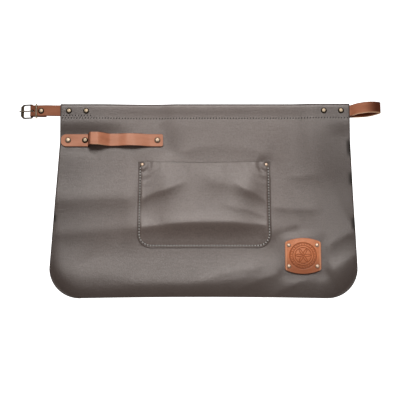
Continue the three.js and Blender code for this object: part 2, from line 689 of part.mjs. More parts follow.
// Rivet: its back cap's top at fromZ and its front cap's underside at toZ, less the gaps.
function rivetGeometry(kind, x, y, fromZ, toZ) {
  const low = fromZ - GAP;
  const high = toZ + GAP;
  const profile = [
    [0, low - kind.backHeight],
    [kind.back, low - kind.backHeight],
    [kind.back, low],
    [kind.shank, low],
    [kind.shank, high],
    ...RIVET_DOME.map(({ radius, height }) => [radius * kind.cap, high + height * kind.dome]),
  ].map(([radius, z]) => new THREE.Vector2(radius, z));
  return new THREE.LatheGeometry(profile, RIVET_SIDES).rotateX(Math.PI / 2).translate(x, y, 0);
}

// Buckle frame about its heel bar, lying flat: two arms, a broad front bar and a round heel bar.
function buckleFrameGeometry() {
  const half = FRAME_WIDTH / 2;
  const inner = half - FRAME_ARM;
  const window = FRAME_REACH - FRAME_FRONT_BAR;
  const heel = FRAME_HEEL;
  const bevel = FRAME_BEVEL;
  const outline = new THREE.Shape();
  outline.moveTo(heel - bevel, -half + bevel);
  outline.lineTo(heel - bevel, -inner - bevel);
  outline.lineTo(-window + bevel, -inner - bevel);
  outline.lineTo(-window - bevel, -inner + bevel);
  outline.lineTo(-window - bevel, inner - bevel);
  outline.lineTo(-window + bevel, inner + bevel);
  outline.lineTo(heel - bevel, inner + bevel);
  outline.lineTo(heel - bevel, half - bevel);
  outline.lineTo(-FRAME_REACH + FRAME_CHAMFER, half - bevel);
  outline.lineTo(-FRAME_REACH + bevel, half - FRAME_CHAMFER);
  outline.lineTo(-FRAME_REACH + bevel, -half + FRAME_CHAMFER);
  outline.lineTo(-FRAME_REACH + FRAME_CHAMFER, -half + bevel);
  const options = {
    depth: FRAME_THICKNESS - 2 * bevel,
    steps: 1,
    bevelEnabled: true,
    bevelThickness: bevel,
    bevelSize: bevel,
    bevelSegments: 2,
  };
  const hoop = new THREE.ExtrudeGeometry(outline, options).translate(0, 0, -FRAME_THICKNESS / 2 + bevel);
  const bar = new THREE.CylinderGeometry(BAR_RADIUS, BAR_RADIUS, FRAME_WIDTH - FRAME_ARM, RIVET_SIDES);
  return geometryOf(solidOf(hoop).add(solidOf(bar)));
}

// Buckle prong: curled round the heel bar, laid over the front bar.
function buckleProngGeometry() {
  const half = PRONG_THICKNESS / 2;
  const curl = BAR_RADIUS + PRONG_EASE + half;
  const overBar = FRAME_THICKNESS / 2 + PRONG_EASE + half;
  const tip = -FRAME_REACH - PRONG_OVERHANG;
  const centreline = [
    new THREE.Vector2(tip, overBar - PRONG_EASE),
    new THREE.Vector2(-FRAME_REACH + PRONG_NOSE, overBar),
    ...easePoints(-FRAME_REACH + FRAME_FRONT_BAR, overBar, 0, curl, 4),
    ...arcPoints(0, 0, curl, Math.PI / 2, PRONG_CURL_END, 14).slice(1),
  ];
  return strapGeometry(centreline, PRONG_THICKNESS, PRONG_WIDTH, 0);
}

// Strap keeper: a wire ring round both strap layers, with room for the waist strap.
function keeperGeometry() {
  const strapStack = 2 * STRAP_THICKNESS + 2 * GAP;
  const halfWidth = STRAP_WIDTH / 2 + KEEPER_SIDE_EASE + KEEPER_WIRE;
  const lowZ = KEEPER_WIRE;
  const highZ = lowZ + 2 * KEEPER_WIRE + strapStack + KEEPER_ROOM;
  const corners = [
    [halfWidth - KEEPER_ROUND, highZ - KEEPER_ROUND],
    [-halfWidth + KEEPER_ROUND, highZ - KEEPER_ROUND],
    [-halfWidth + KEEPER_ROUND, lowZ + KEEPER_ROUND],
    [halfWidth - KEEPER_ROUND, lowZ + KEEPER_ROUND],
  ];
  const path = corners.flatMap(([y, z], quarter) => {
    const start = (quarter * Math.PI) / 2;
    return arcPoints(y, z, KEEPER_ROUND, start, start + Math.PI / 2, 4);
  });
  const points = [];
  path.forEach((point, k) => {
    const before = path[(k + path.length - 1) % path.length];
    const after = path[(k + 1) % path.length];
    const along = after.clone().sub(before).normalize();
    for (let s = 0; s < KEEPER_SIDES; s++) {
      const angle = (2 * Math.PI * s) / KEEPER_SIDES;
      const out = KEEPER_WIRE * Math.cos(angle);
      points.push(new THREE.Vector3(
        KEEPER_X + KEEPER_WIRE * Math.sin(angle),
        STRAP_Y + point.x + along.y * out,
        point.y - along.x * out,
      ));
    }
  });
  const index = [];
  path.forEach((_, k) => {
    const next = (k + 1) % path.length;
    for (let s = 0; s < KEEPER_SIDES; s++) {
      const turn = (s + 1) % KEEPER_SIDES;
      const [a, b] = [k * KEEPER_SIDES + s, k * KEEPER_SIDES + turn];
      const [c, d] = [next * KEEPER_SIDES + turn, next * KEEPER_SIDES + s];
      index.push(a, c, b, a, d, c);
    }
  });
  const geometry = new THREE.BufferGeometry().setFromPoints(points);
  geometry.setIndex(index);
  geometry.computeVertexNormals();
  return geometry;
}

// Materials
const apronLeather = new THREE.MeshStandardMaterial({ color: 0x857a75, roughness: 0.5, metalness: 0 });
const strapLeather = new THREE.MeshStandardMaterial({ color: 0xb06f52, roughness: 0.45, metalness: 0 });
const patchLeather = new THREE.MeshStandardMaterial({ color: 0xa9623f, roughness: 0.4, metalness: 0 });
const agedBrass = new THREE.MeshStandardMaterial({ color: 0x8a7a5c, roughness: 0.35, metalness: 1 });

// Assembly
const apron = new THREE.Group();

function addPiece(parent, name, geometry, material) {
  const mesh = new THREE.Mesh(geometry, material);
  mesh.name = name;
  parent.add(mesh);
}

const panelHoles = [
  ...["left", "right"].flatMap((end) => hemRivetsX(end).map((x) => ({ x, y: STRAP_Y, kind: RIVET_LARGE }))),
  ...TOWEL_RIVETS.map((x) => ({ x, y: TOWEL_Y, kind: RIVET_LARGE })),
  ...POCKET_RIVETS.map(({ x, y }) => ({ x, y, kind: RIVET_SMALL })),
  ...patchRivets().map(({ x, y }) => ({ x, y, kind: RIVET_SMALL })),
];
const panelTools = panelHoles.map(({ x, y, kind }) => holeTool(x, y, kind.shank + HOLE_EASE));
addPiece(apron, "apron_panel", cut(wallGeometry(panelGrid(), PANEL_THICKNESS), panelTools), apronLeather);

const pocketTools = POCKET_RIVETS.map(({ x, y }) => holeTool(x, y, RIVET_SMALL.shank + HOLE_EASE));
addPiece(apron, "pocket", cut(wallGeometry(pocketGrid(), PANEL_THICKNESS), pocketTools), apronLeather);
addPiece(apron, "towel_strap", towelStrapGeometry(), strapLeather);
addPiece(apron, "patch", patchGeometry(), patchLeather);
addPiece(apron, "buckle_strap", buckleStrapGeometry(), strapLeather);
addPiece(apron, "waist_strap", waistStrapGeometry(), strapLeather);
addPiece(apron, "strap_keeper", keeperGeometry(), agedBrass);

// The frame and its prong lie in a group of their own, turned about the heel bar.
const buckle = new THREE.Group();
buckle.position.set(BAR_X, FRAME_Y, BAR_Z);
buckle.rotation.y = -FRAME_TILT;
addPiece(buckle, "buckle_frame", buckleFrameGeometry(), agedBrass);
addPiece(buckle, "buckle_prong", buckleProngGeometry(), agedBrass);
apron.add(buckle);

function addRivet(name, kind, x, y, fromZ, toZ) {
  addPiece(apron, name, rivetGeometry(kind, x, y, fromZ, toZ), agedBrass);
}

for (const end of ["left", "right"]) {
  hemRivetsX(end).forEach((x, k) => {
    const name = "rivet_hem_" + end + "_" + ["outer", "inner"][k];
    addRivet(name, RIVET_LARGE, x, STRAP_Y, hemBase(x), hemFrontUnderside(x) + PANEL_THICKNESS);
  });
}
const tailUnderside = 2 * KEEPER_WIRE + GAP;
const strapStackTop = tailUnderside + 2 * STRAP_THICKNESS + GAP;
addRivet("rivet_buckle_strap", RIVET_LARGE, BUCKLE_RIVET_X, STRAP_Y, tailUnderside, strapStackTop);
const towelTop = SEAT_TOP + GAP + STRAP_THICKNESS;
TOWEL_RIVETS.forEach((x, k) => {
  addRivet("rivet_towel_" + ["left", "middle", "right"][k], RIVET_LARGE, x, TOWEL_Y, SEAT_Z, towelTop);
});
for (const { name, x, y } of POCKET_RIVETS) {
  addRivet(name, RIVET_SMALL, x, y, SEAT_Z, SEAT_TOP + GAP + PANEL_THICKNESS);
}
const patchTop = SEAT_TOP + PATCH_LIFT + GAP + PATCH_THICKNESS;
for (const { name, x, y } of patchRivets()) {
  addRivet(name, RIVET_SMALL, x, y, SEAT_Z + PATCH_LIFT, patchTop);
}

export default apron;
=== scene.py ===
import math
from collections import namedtuple

import bpy
import numpy as np
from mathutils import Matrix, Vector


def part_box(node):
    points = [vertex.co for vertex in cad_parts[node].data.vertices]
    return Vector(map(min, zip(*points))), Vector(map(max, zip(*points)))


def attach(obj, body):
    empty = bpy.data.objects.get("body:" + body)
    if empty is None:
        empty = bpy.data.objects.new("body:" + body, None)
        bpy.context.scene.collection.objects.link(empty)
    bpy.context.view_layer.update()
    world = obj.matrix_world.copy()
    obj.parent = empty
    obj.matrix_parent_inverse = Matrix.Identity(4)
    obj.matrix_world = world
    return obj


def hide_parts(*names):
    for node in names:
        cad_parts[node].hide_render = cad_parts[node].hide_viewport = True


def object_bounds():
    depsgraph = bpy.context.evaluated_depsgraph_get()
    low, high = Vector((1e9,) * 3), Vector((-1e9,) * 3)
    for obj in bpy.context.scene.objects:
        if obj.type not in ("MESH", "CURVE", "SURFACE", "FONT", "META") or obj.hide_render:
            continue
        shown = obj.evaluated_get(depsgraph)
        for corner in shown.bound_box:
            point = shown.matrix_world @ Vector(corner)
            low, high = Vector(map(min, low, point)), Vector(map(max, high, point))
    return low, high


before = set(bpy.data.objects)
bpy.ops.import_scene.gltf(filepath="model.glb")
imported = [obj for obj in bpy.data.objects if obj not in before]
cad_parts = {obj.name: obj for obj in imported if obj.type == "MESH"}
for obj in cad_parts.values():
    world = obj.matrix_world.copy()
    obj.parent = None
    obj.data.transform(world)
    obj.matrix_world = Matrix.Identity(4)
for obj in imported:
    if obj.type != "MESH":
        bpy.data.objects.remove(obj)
CAD_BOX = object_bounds()

bl_info = {
    "name": "Leather Waist Apron",
    "version": (1, 0, 0),
    "blender": (4, 5, 0),
    "location": "3D View > Sidebar > Apron",
    "description": "Builds a leather waist apron that lies on a pale floor, piece by piece",
    "category": "Add Mesh",
}

# Metres throughout: +X towards the long waist strap, +Y towards the hem, +Z up from the floor.
# Tones are shares, one for each point of a piece, that its material reads.

# Fits between the pieces, the flat seats of riveted leather, and the rounds along cut edges
GAP = 0.0003
FLOOR_GAP = 0.0002
BACK_CAP_HEIGHT = 0.0015
SEAT_Z = BACK_CAP_HEIGHT + GAP + FLOOR_GAP
THIN_ROUND = 0.0004
THICK_ROUND = 0.0006
ROUND_ANGLE = math.radians(50.0)

# Outline of the panel
TOP_Y = 0.2108
BOTTOM_Y = -0.212
BOTTOM_BOW = 0.0025
HEM_LEFT = -0.2965
HEM_RIGHT = 0.3175
FLARE_START_Y = 0.128
FLARE_LEFT = 0.0165
FLARE_RIGHT = 0.010
CORNER_RADIUS = 0.064

# The panel comes down to the floor along its edges, up to where this fades out below the hem.
EDGE_EASE = 0.080
EDGE_FADE_Y = (0.020, 0.108)

# Hem: its depth and seam, and the swell of its front, with the crest's share of the way down to the seam and
# the share that is left at the straps.
HEM_DEPTH = 0.0365
HEM_STITCH_Y = 0.1787
HEM_SWELL = 0.0013
HEM_SWELL_CREST = 0.14
HEM_SWELL_ENDS = 0.6

# Stations along the hem: height of its underside, and its inner gap, which takes a strap at each end.
HEM_X = np.array((-0.222, -0.118, -0.090, -0.046, 0.190, 0.242))
HEM_BASE = np.array((0.0020, 0.0002, 0.0002, 0.0028, 0.0028, 0.0046))
HEM_GAP = np.array((0.0031, 0.0005, 0.0005, 0.0005, 0.0005, 0.0031))

# How far below the hem the panel still comes down from it: short at the left, longer past the middle and
# longest at the right, where a share of it turns short again.
HEM_DROP = 0.040
HEM_LONG_DROP = 0.120
HEM_LONG_X = (-0.150, 0.060)
HEM_RIGHT_DROP = 0.190
HEM_RIGHT_X = (0.140, 0.260)
HEM_SHORT_SHARE = 0.30
HEM_SHORT_X = (0.250, 0.310)

# Tones of the panel: pale crests that stand above points some grid steps away, painted shade over the
# outskirt that is stronger at both sides, painted shade along the top of the hem's fold, and dark rims of
# the cut edges that are partly painted shade.
CREST_RISE = 0.0009
CREST_STEPS = 4
OUTSKIRT_PAINTED_SHADE_REACH = 0.20
OUTSKIRT_PAINTED_SHADE_SIDE = (0.10, 0.30)
OUTSKIRT_PAINTED_SHADE_LEFT = 0.30
OUTSKIRT_PAINTED_SHADE_RIGHT = 0.32
# Painted shade along the top of the hem's fold, and dark cut edges that are partly painted shade
HEM_FOLD_PAINTED_SHADE_Y = (TOP_Y - 0.0042, TOP_Y - 0.0022)
CUT_EDGE_AND_PAINTED_SHADE = 0.85
CUT_EDGE_AND_PAINTED_SHADE_INSET = (0.0010, 0.0050)

# Pocket: its outline, its flat seam, the widths within which its belly and its folds rise from the seam, its
# rivets and the dip of its mouth.
POCKET_X = 0.009
POCKET_TOP = 0.0825
POCKET_BOTTOM = -0.105
POCKET_HEIGHT = POCKET_TOP - POCKET_BOTTOM
POCKET_HALF_TOP = 0.1388
POCKET_HALF_BOTTOM = 0.1407
POCKET_CORNER = 0.029
POCKET_SEAM = 0.007
POCKET_SIDE_RISE = 0.085
POCKET_SEWN = 0.010
POCKET_RIVETS = ((-0.1218, 0.0756), (0.1396, 0.0756))
MOUTH_DIP = 0.0023

# The pocket's belly down its middle: share of its height from the mouth, and rise off the panel. Across the
# pocket it is arched: up where the square of the share of its half width is under the level, else down.
BELLY_DOWN = np.array((0.0, 0.20, 0.42, 0.60, 0.70, 0.74, 0.78, 0.83, 0.89, 0.94, 1.0))
BELLY_RISE = np.array((
    0.0008, 0.0016, 0.0028, 0.0041, 0.0047, 0.0044, 0.0034, 0.0018, 0.0006, 0.0001, 0.0))
BELLY_ARCH = 0.009
BELLY_LEVEL = 0.6

# Puckers round the pocket's rivets: depth, width of one ripple, and reach.
PUCKER = 0.0010
PUCKER_WIDTH = 0.017
PUCKER_REACH = 0.018

# Patch: its place and the lift of its seat, the share by which its corners draw in, its crown, and its
# tones: an edge burnished over some grid steps, painted shade that sets in down the patch, and painted
# highlights as pale rims by its sides.
PATCH_CENTRE = (0.2142, -0.1232)
PATCH_LIFT = 0.0025
PATCH_CORNER = 0.035
PATCH_CORNER_POWER = 24
CROWN_POWER = 1.5
PATCH_BURNISH = 6.0
PATCH_PAINTED_SHADE = 0.75
PATCH_PAINTED_SHADE_DOWN = (-0.3, 0.9)
PATCH_PAINTED_HIGHLIGHT = 0.6
PATCH_PAINTED_HIGHLIGHT_AT = 0.94
PATCH_PAINTED_HIGHLIGHT_WIDTH = 0.03

# Pressed rosette: width of its lines, and its rings and petals as shares of the outer ring's radius
LINE_WIDTH = 0.00055
INNER_RING = 0.78
BEAD_RING = 0.89
BEAD_COUNT = 28
BEAD_SIZE = 0.0010
PETAL_RING = 0.62
PETAL_COUNT = 6

# A fold is a ridge whose crest runs from (x0, y0) to (x1, y1), bowed by bow in its middle and rounded by
# soft, that fades within above and below its crest and within taper past its ends. One crease runs through
# the pocket and the panel behind it.
Fold = namedtuple("Fold", "x0 y0 x1 y1 bow height above below taper soft")
POCKET_CREASE = (-0.135, -0.064, 0.150, -0.059, 0.009)
FOLDS = (
    Fold(-0.300, 0.000, -0.155, 0.005, 0.002, 0.0031, 0.045, 0.022, 0.040, 0.014),
    Fold(-0.290, -0.074, -0.130, -0.058, 0.000, 0.0021, 0.030, 0.022, 0.050, 0.012),
    Fold(*POCKET_CREASE, 0.0012, 0.046, 0.030, 0.040, 0.004),
    Fold(-0.045, 0.104, 0.125, 0.106, 0.016, 0.0013, 0.050, 0.014, 0.050, 0.007),
    Fold(-0.060, 0.050, 0.090, 0.050, 0.000, 0.0022, 0.060, 0.090, 0.070, 0.030),
    Fold(0.146, -0.074, 0.188, -0.058, 0.000, 0.0015, 0.030, 0.014, 0.025, 0.005),
    Fold(0.246, -0.116, 0.322, -0.070, 0.004, 0.0031, 0.050, 0.022, 0.020, 0.006),
    Fold(0.282, -0.150, 0.330, -0.118, 0.000, 0.0022, 0.020, 0.026, 0.025, 0.006),
    Fold(0.165, -0.018, 0.230, -0.022, 0.000, 0.0009, 0.030, 0.009, 0.030, 0.004),
    Fold(0.205, 0.051, 0.235, 0.053, 0.000, 0.0008, 0.030, 0.010, 0.030, 0.004),
    Fold(0.010, -0.176, 0.105, -0.152, 0.004, 0.0009, 0.016, 0.010, 0.035, 0.003),
    Fold(0.075, -0.194, 0.160, -0.160, 0.000, 0.0009, 0.014, 0.008, 0.020, 0.003),
    Fold(0.150, -0.206, 0.230, -0.166, 0.000, 0.0009, 0.012, 0.008, 0.020, 0.003),
)
POCKET_FOLDS = (
    Fold(*POCKET_CREASE, 0.0028, 0.018, 0.024, 0.030, 0.0035),
    Fold(-0.124, -0.001, -0.074, 0.020, 0.003, 0.0036, 0.045, 0.014, 0.060, 0.004),
    Fold(0.034, 0.039, 0.100, 0.018, 0.003, 0.0018, 0.045, 0.018, 0.045, 0.012),
    Fold(0.098, 0.020, 0.142, -0.006, 0.003, 0.0028, 0.040, 0.014, 0.045, 0.004),
    Fold(0.080, -0.021, 0.146, -0.042, 0.003, 0.0012, 0.024, 0.010, 0.050, 0.004),
)

# Painted shade, near black, where the edge of a side is turned down: side, place along it, half length and
# depth, of which a first share is fully dark.
PaintedShadeNotch = namedtuple("PaintedShadeNotch", "side y half depth")
PAINTED_SHADE_NOTCHES = (
    PaintedShadeNotch(1, 0.1130, 0.0185, 0.0120),
    PaintedShadeNotch(1, 0.0450, 0.0140, 0.0110),
    PaintedShadeNotch(1, -0.0520, 0.0150, 0.0110),
    PaintedShadeNotch(-1, -0.0405, 0.0100, 0.0090),
)
PAINTED_SHADE_NOTCH_FULL = 0.25

# The roll of the panel along its bottom edge, sharper in the middle, which fades out up the sides.
ROLL_HEIGHT = 0.0058
ROLL_INSET = 0.029
ROLL_CORNER = 0.080
ROLL_INNER = 0.056
ROLL_FOOT = 0.002
ROLL_CLIMB = 0.013
ROLL_CLIMB_X = (0.010, 0.120)
ROLL_POWER = 2.4
ROLL_SHARP_POWER = 1.8
ROLL_SHARP_GAIN = 1.2
ROLL_SHARP_X = (-0.210, -0.120, 0.070, 0.150)
ROLL_SOFT = 0.006
ROLL_SIDES = 0.22
ROLL_SIDES_RISE = (-0.176, -0.080)
ROLL_SIDES_END = (-0.020, 0.060)
ROLL_DIP = 0.45
ROLL_DIP_REACH = 0.070

# Straps: their middles, the reach and tone of a raw lower edge, and the columns of a burnished one
STRAP_Y = 0.1950
TOWEL_Y = 0.1297
FRONT_EDGE = (0.0006, 0.0026)
RAW_TONE = 0.6
BURNISH_STEPS = 2.0

# Places where the panel lies flat under what is riveted to it, later ones over earlier ones.
Seat = namedtuple("Seat", "x y half_x half_y margin lift")
FLAT_SEATS = (
    Seat(*PATCH_CENTRE, 0.034, 0.034, 0.028, PATCH_LIFT),
    Seat(-0.262, TOWEL_Y, 0.034, 0.018, 0.020, 0.0),
    Seat(-0.090, TOWEL_Y, 0.020, 0.018, 0.050, 0.0),
    Seat(*POCKET_RIVETS[0], 0.006, 0.006, 0.016, 0.0),
    Seat(*POCKET_RIVETS[1], 0.006, 0.006, 0.016, 0.0),
)

# How a strap is cut and gridded: radii that round its ends in plan, rows along it, how far these gather
# towards its ends, and columns across it.
Cut = namedtuple("Cut", "start_round end_round rows gather columns")
TOWEL_CUT = Cut(0.012, 0.004, 260, 0.3, 25)
BUCKLE_STRAP_CUT = Cut(0.001, 0.002, 300, 0.0, 29)
WAIST_STRAP_CUT = Cut(0.001, 0.0124, 420, 0.0, 25)

# Towel strap: its rise off the panel along its length, the steps between its main stations, its slope up to
# its lower edge, a darker tone at its left end, and painted shade on the steep riser.
TOWEL_X = np.array((-0.2367, -0.2312, -0.2180, -0.1880, -0.1740, -0.1500, -0.1000))
TOWEL_RISE = np.array((0.0, 0.0165, 0.0165, 0.0036, 0.0036, 0.0064, 0.0))
TOWEL_STEPS = (39, 59, 99, 29)
TOWEL_LIFT_X = np.array((-0.185, -0.155, -0.125, -0.100))
TOWEL_LIFT = np.array((0.0, 0.07, 0.07, 0.0))
TOWEL_END_DARKENING = 0.07
RISER_PAINTED_SHADE = 0.65
RISER_BEFORE = 0.001
RISER_PAST = 0.002

# Buckle strap: its run over the keeper's wire, its doubled stretch, the sideways shift of its two layers,
# the prong's slot, which is longer above the bar than below, and its darker tone, with painted shade added
# towards the bar where it turns.
WIRE_HEIGHT = 0.002
DOUBLED_X = (-0.3506, -0.3256)
HEM_STEP_X = HEM_LEFT - 0.004
DOUBLED_STEP_X = DOUBLED_X[1] - 0.002
LAYER_SHIFT = 0.0009
LAYER_TURN = (0.55, 1.0)
SLOT_HALF = 0.0022
SLOT_ABOVE = 0.0052
SLOT_BELOW = 0.0040
BUCKLE_DARKENING = 0.42
BAR_PAINTED_SHADE = 0.24
BAR_PAINTED_SHADE_REACH = 0.022

# Waist strap: its loop's side line in X and Z, its length in the hem, its lean per height, its punched holes
# from the tip, and its darker tone, with painted shade that is darkest at the turn and on the run below.
WAIST_LOOP = (
    (0.3175, 0.00775), (0.3205, 0.0083), (0.3260, 0.0120), (0.3330, 0.0164), (0.3410, 0.0197),
    (0.3520, 0.0227), (0.3630, 0.0239), (0.3720, 0.0234), (0.3790, 0.0217), (0.3816, 0.0196),
    (0.3792, 0.0178), (0.3730, 0.0136), (0.3630, 0.0081), (0.3520, 0.0045), (0.3410, 0.0028),
    (0.3260, 0.0015), (0.3160, 0.00125), (0.3000, 0.00125),
)
WAIST_LOOP_STEPS = 14
WAIST_IN_HEM = 0.066
WAIST_LEAN = 0.19
PUNCH_FIRST = 0.055
PUNCH_PITCH = 0.025
PUNCH_COUNT = 7
PUNCH_RADIUS = 0.0022
WAIST_DARKENING = 0.22
WAIST_TURN_PAINTED_SHADE = 0.95
WAIST_PAINTED_SHADE_X = (0.344, 0.376)
WAIST_RAW_X = (0.320, 0.330)

# Rivets: rise of the dome and radius of the back cap, and the bare metal and patina of each group, whose
# name is part of its nodes' names. On the patch's rivets the bare copper is a painted reflection of the
# patch's leather. The last row is for all others.
BySize = namedtuple("BySize", "large small")
RIVET_DOME = BySize(0.0024, 0.0019)
RIVET_BACK = BySize(0.005, 0.0036)
RivetGroup = namedtuple("RivetGroup", "name size bare patina")
RIVET_GROUPS = (
    RivetGroup("patch", "small", 1.0, 0.15),
    RivetGroup("pocket", "small", 0.6, 0.5),
    RivetGroup("towel_left", "large", 0.35, 0.5),
    RivetGroup("towel_right", "large", 0.35, 0.5),
    RivetGroup("", "large", 0.0, 1.0),
)

# Profile of a rivet as shares of its cap's radius: rings from the rim to the middle, foot of the cap, shank,
# and where the patina, partly a painted dark reflection of the steep rim, sets in towards the rim. The cap's
# fall is a share of the dome's rise.
CAP_RINGS = np.concatenate((np.linspace(0.02, 0.86, 12), (0.92, 0.97, 1.0)))[::-1]
CAP_FOOT = 0.96
SHANK = 0.28
CAP_PATINA_AND_PAINTED_REFLECTION = (0.52, 0.80)
CAP_FALL = 0.82
RIVET_SIDES = 32

# Buckle frame about its heel bar: cut corners are lengths along the sides, with a share of bow.
BAR = (-0.3567, 0.1943, 0.00495)
BAR_RADIUS = 0.0015
FRAME_TILT = math.radians(7.6)
FRAME_REACH = 0.0243
FRAME_FRONT = 0.007
FRAME_ARM = 0.0029
FRAME_HALF_Y = 0.016
FRAME_HALF_Z = 0.0018
FRAME_SQUARE = 0.62
FRAME_HEEL = 0.004
HEEL_EASE = 0.0003
Corners = namedtuple("Corners", "back front bow")
OUTER_CORNERS = Corners(0.0016, 0.0062, 0.2)
INNER_CORNERS = Corners(0.0010, 0.0022, 0.6)
CORNER_STEPS = 9
SIDE_STEPS = 14
FRAME_SIDES = 20
FRAME_PATINA = 0.96

# Prong: half width and half thickness, fit about the bars, overhang with its droop, blunt tip, slim end
PRONG_HALF_Y = 0.0016
PRONG_HALF_Z = 0.0008
PRONG_EASE = 0.00025
PRONG_PAST = 0.0036
PRONG_DROOP = 0.0005
PRONG_LEVEL = 0.001
PRONG_CURL_END = -0.8 * math.pi
PRONG_TIP = 0.0012
PRONG_BLUNT = 0.06
PRONG_SLIM = 0.85
PRONG_SLIM_REACH = 0.016
PRONG_FLAT = 0.2
PRONG_ROWS = 90
PRONG_GATHER = 0.2
PRONG_PATINA = 0.55

# Keeper: round of its loop, step between its rings, distance within which two are one, flatness of its wire
KEEPER_ROUND = 0.0022
KEEPER_STEP = 0.002
SAME_PLACE = 1e-6
KEEPER_FLAT = 1.7
KEEPER_PATINA = 0.3
WIRE_SIDES = 12

# Seams: the hem's row, the tacking row above it at the buckle strap, which ends past a rivet, and the
# pocket's row, with slanted, thinner stitches along the hem.
HEM_SEAM_INSET = 0.002
TACK_RISE = 0.0058
TACK_INSET = 0.004
TACK_END_X = -0.2298
HEM_SLANT = math.radians(72.0)
HEM_THREAD = 0.8
POCKET_SEAM_INSET = 0.0043
POCKET_SEAM_DROP = 0.012
STITCH_END = 0.94
STITCH_BANDS = 6
STITCH_SIDES = 8
SLOPE_STEP = 0.0004

# Rows and columns of the large grids, and steps of short curves
PANEL_COLUMNS = 181
HEM_BACK_ROWS = 7
HEM_FOLD_ROWS = 11
HEM_FRONT_ROWS = 12
PANEL_ROWS = 110
PANEL_CORNER_ROWS = 24
POCKET_COLUMNS = 141
POCKET_ROWS = 81
POCKET_CORNER_ROWS = 20
PATCH_ROWS = 161
LONG_STEP = 12
SHORT_STEP = 10
STRAP_TURN_STEPS = 24
PRONG_TURN_STEPS = 30
SEAM_TURN_STEPS = 16
KEEPER_TURN_STEPS = 7

# Lights: place, and size along and across
KEY_PLACE = (0.0, 2.95, 4.6)
KEY_SIZE = (2.7, 2.6)
FILL_PLACE = (0.0, -1.2, 4.2)
FILL_SIZE = (2.5, 2.5)


# Settings, with the limits that colours and shares have in common

WHITE = (1.0, 1.0, 1.0)
BLACK = (0.0, 0.0, 0.0)
COLOUR = {"subtype": "COLOR", "size": 3, "min": 0.0, "max": 1.0}
SHARE = {"subtype": "FACTOR", "min": 0.0, "max": 1.0}


class ApronLeatherSettings(bpy.types.PropertyGroup):
    """Leather of the panel and the pocket"""

    thickness: bpy.props.FloatProperty(
        name="Thickness", description="Thickness of the leather", default=0.0016, unit="LENGTH")
    colour: bpy.props.FloatVectorProperty(
        name="Colour", description="Grey-brown of the flat leather", default=(0.114, 0.080, 0.066), **COLOUR)
    # The shade colour also gives the painted shade over the outskirt and along the hem's fold
    shade: bpy.props.FloatVectorProperty(
        name="Shade", description="Darker mottling and cut edges", default=(0.040, 0.027, 0.022), **COLOUR)
    crest: bpy.props.FloatVectorProperty(
        name="Crest", description="Lighter tone where the leather is pulled over a fold",
        default=(0.128, 0.093, 0.078), **COLOUR)
    # Painted shade, near black, in the notches where the edge is turned down
    turned: bpy.props.FloatVectorProperty(
        name="Turned", description="Near black where the edge is turned down",
        default=(0.006, 0.005, 0.004), **COLOUR)
    grain: bpy.props.FloatProperty(
        name="Grain", description="Size of a grain cell", default=0.0011, unit="LENGTH")
    roughness: bpy.props.FloatProperty(
        name="Roughness", description="Middle roughness of the finish", default=0.36, **SHARE)


class StrapLeatherSettings(bpy.types.PropertyGroup):
    """Leather of the straps"""

    width: bpy.props.FloatProperty(
        name="Waist strap width", description="Width of the waist straps", default=0.024, unit="LENGTH")
    towel_width: bpy.props.FloatProperty(
        name="Towel strap width", description="Width of the towel strap", default=0.028, unit="LENGTH")
    thickness: bpy.props.FloatProperty(
        name="Thickness", description="Thickness of the straps", default=0.0025, unit="LENGTH")
    colour: bpy.props.FloatVectorProperty(
        name="Colour", description="Cognac of the straps", default=(0.560, 0.215, 0.118), **COLOUR)
    shade: bpy.props.FloatVectorProperty(
        name="Shade", description="Darker streaks of the straps", default=(0.400, 0.135, 0.066), **COLOUR)
    edge: bpy.props.FloatVectorProperty(
        name="Edge", description="Burnished edges", default=(0.040, 0.013, 0.007), **COLOUR)
    # Dark red of the darker tone, which also carries the painted shade on the straps
    darkening_and_painted_shade: bpy.props.FloatVectorProperty(
        name="Stain", description="Dark red of the darkening_and_painted_shadeed leather", default=(0.062, 0.012, 0.004), **COLOUR)
    shine: bpy.props.FloatProperty(
        name="Shine", description="Shine of the towel strap", default=0.8, **SHARE)
    waist_shine: bpy.props.FloatProperty(
        name="Waist shine", description="Shine of the darkening_and_painted_shadeed waist straps", default=0.35, **SHARE)
    raw: bpy.props.FloatVectorProperty(
        name="Raw", description="Raw cut edge", default=(0.560, 0.340, 0.200), **COLOUR)


class PatchSettings(bpy.types.PropertyGroup):
    """Riveted patch with a pressed rosette"""

    width: bpy.props.FloatProperty(
        name="Width", description="Width of the patch", default=0.075, unit="LENGTH")
    side: bpy.props.FloatProperty(
        name="Side", description="Straight height of its sides", default=0.061, unit="LENGTH")
    bow: bpy.props.FloatProperty(
        name="Bow", description="Rise of its bowed top and bottom edges", default=0.008, unit="LENGTH")
    thickness: bpy.props.FloatProperty(
        name="Thickness", description="Thickness of the patch", default=0.003, unit="LENGTH")
    crown: bpy.props.FloatProperty(
        name="Crown", description="Rise of its middle between the rivets", default=0.0024, unit="LENGTH")
    ring: bpy.props.FloatProperty(
        name="Ring", description="Radius of the pressed outer ring", default=0.0275, unit="LENGTH")
    relief: bpy.props.FloatProperty(
        name="Relief", description="Depth of the pressed lines", default=0.0012, unit="LENGTH")
    colour: bpy.props.FloatVectorProperty(
        name="Colour", description="Cognac of the patch", default=(0.660, 0.205, 0.082), **COLOUR)
    # The shade colour also gives the painted shade down the patch
    shade: bpy.props.FloatVectorProperty(
        name="Shade", description="Darker tone in the pressed lines and towards the edge",
        default=(0.190, 0.048, 0.020), **COLOUR)
    # Painted highlight on the rims at the patch's sides
    rim: bpy.props.FloatVectorProperty(
        name="Rim", description="Paler rubbed rims at its sides", default=(0.760, 0.360, 0.200), **COLOUR)


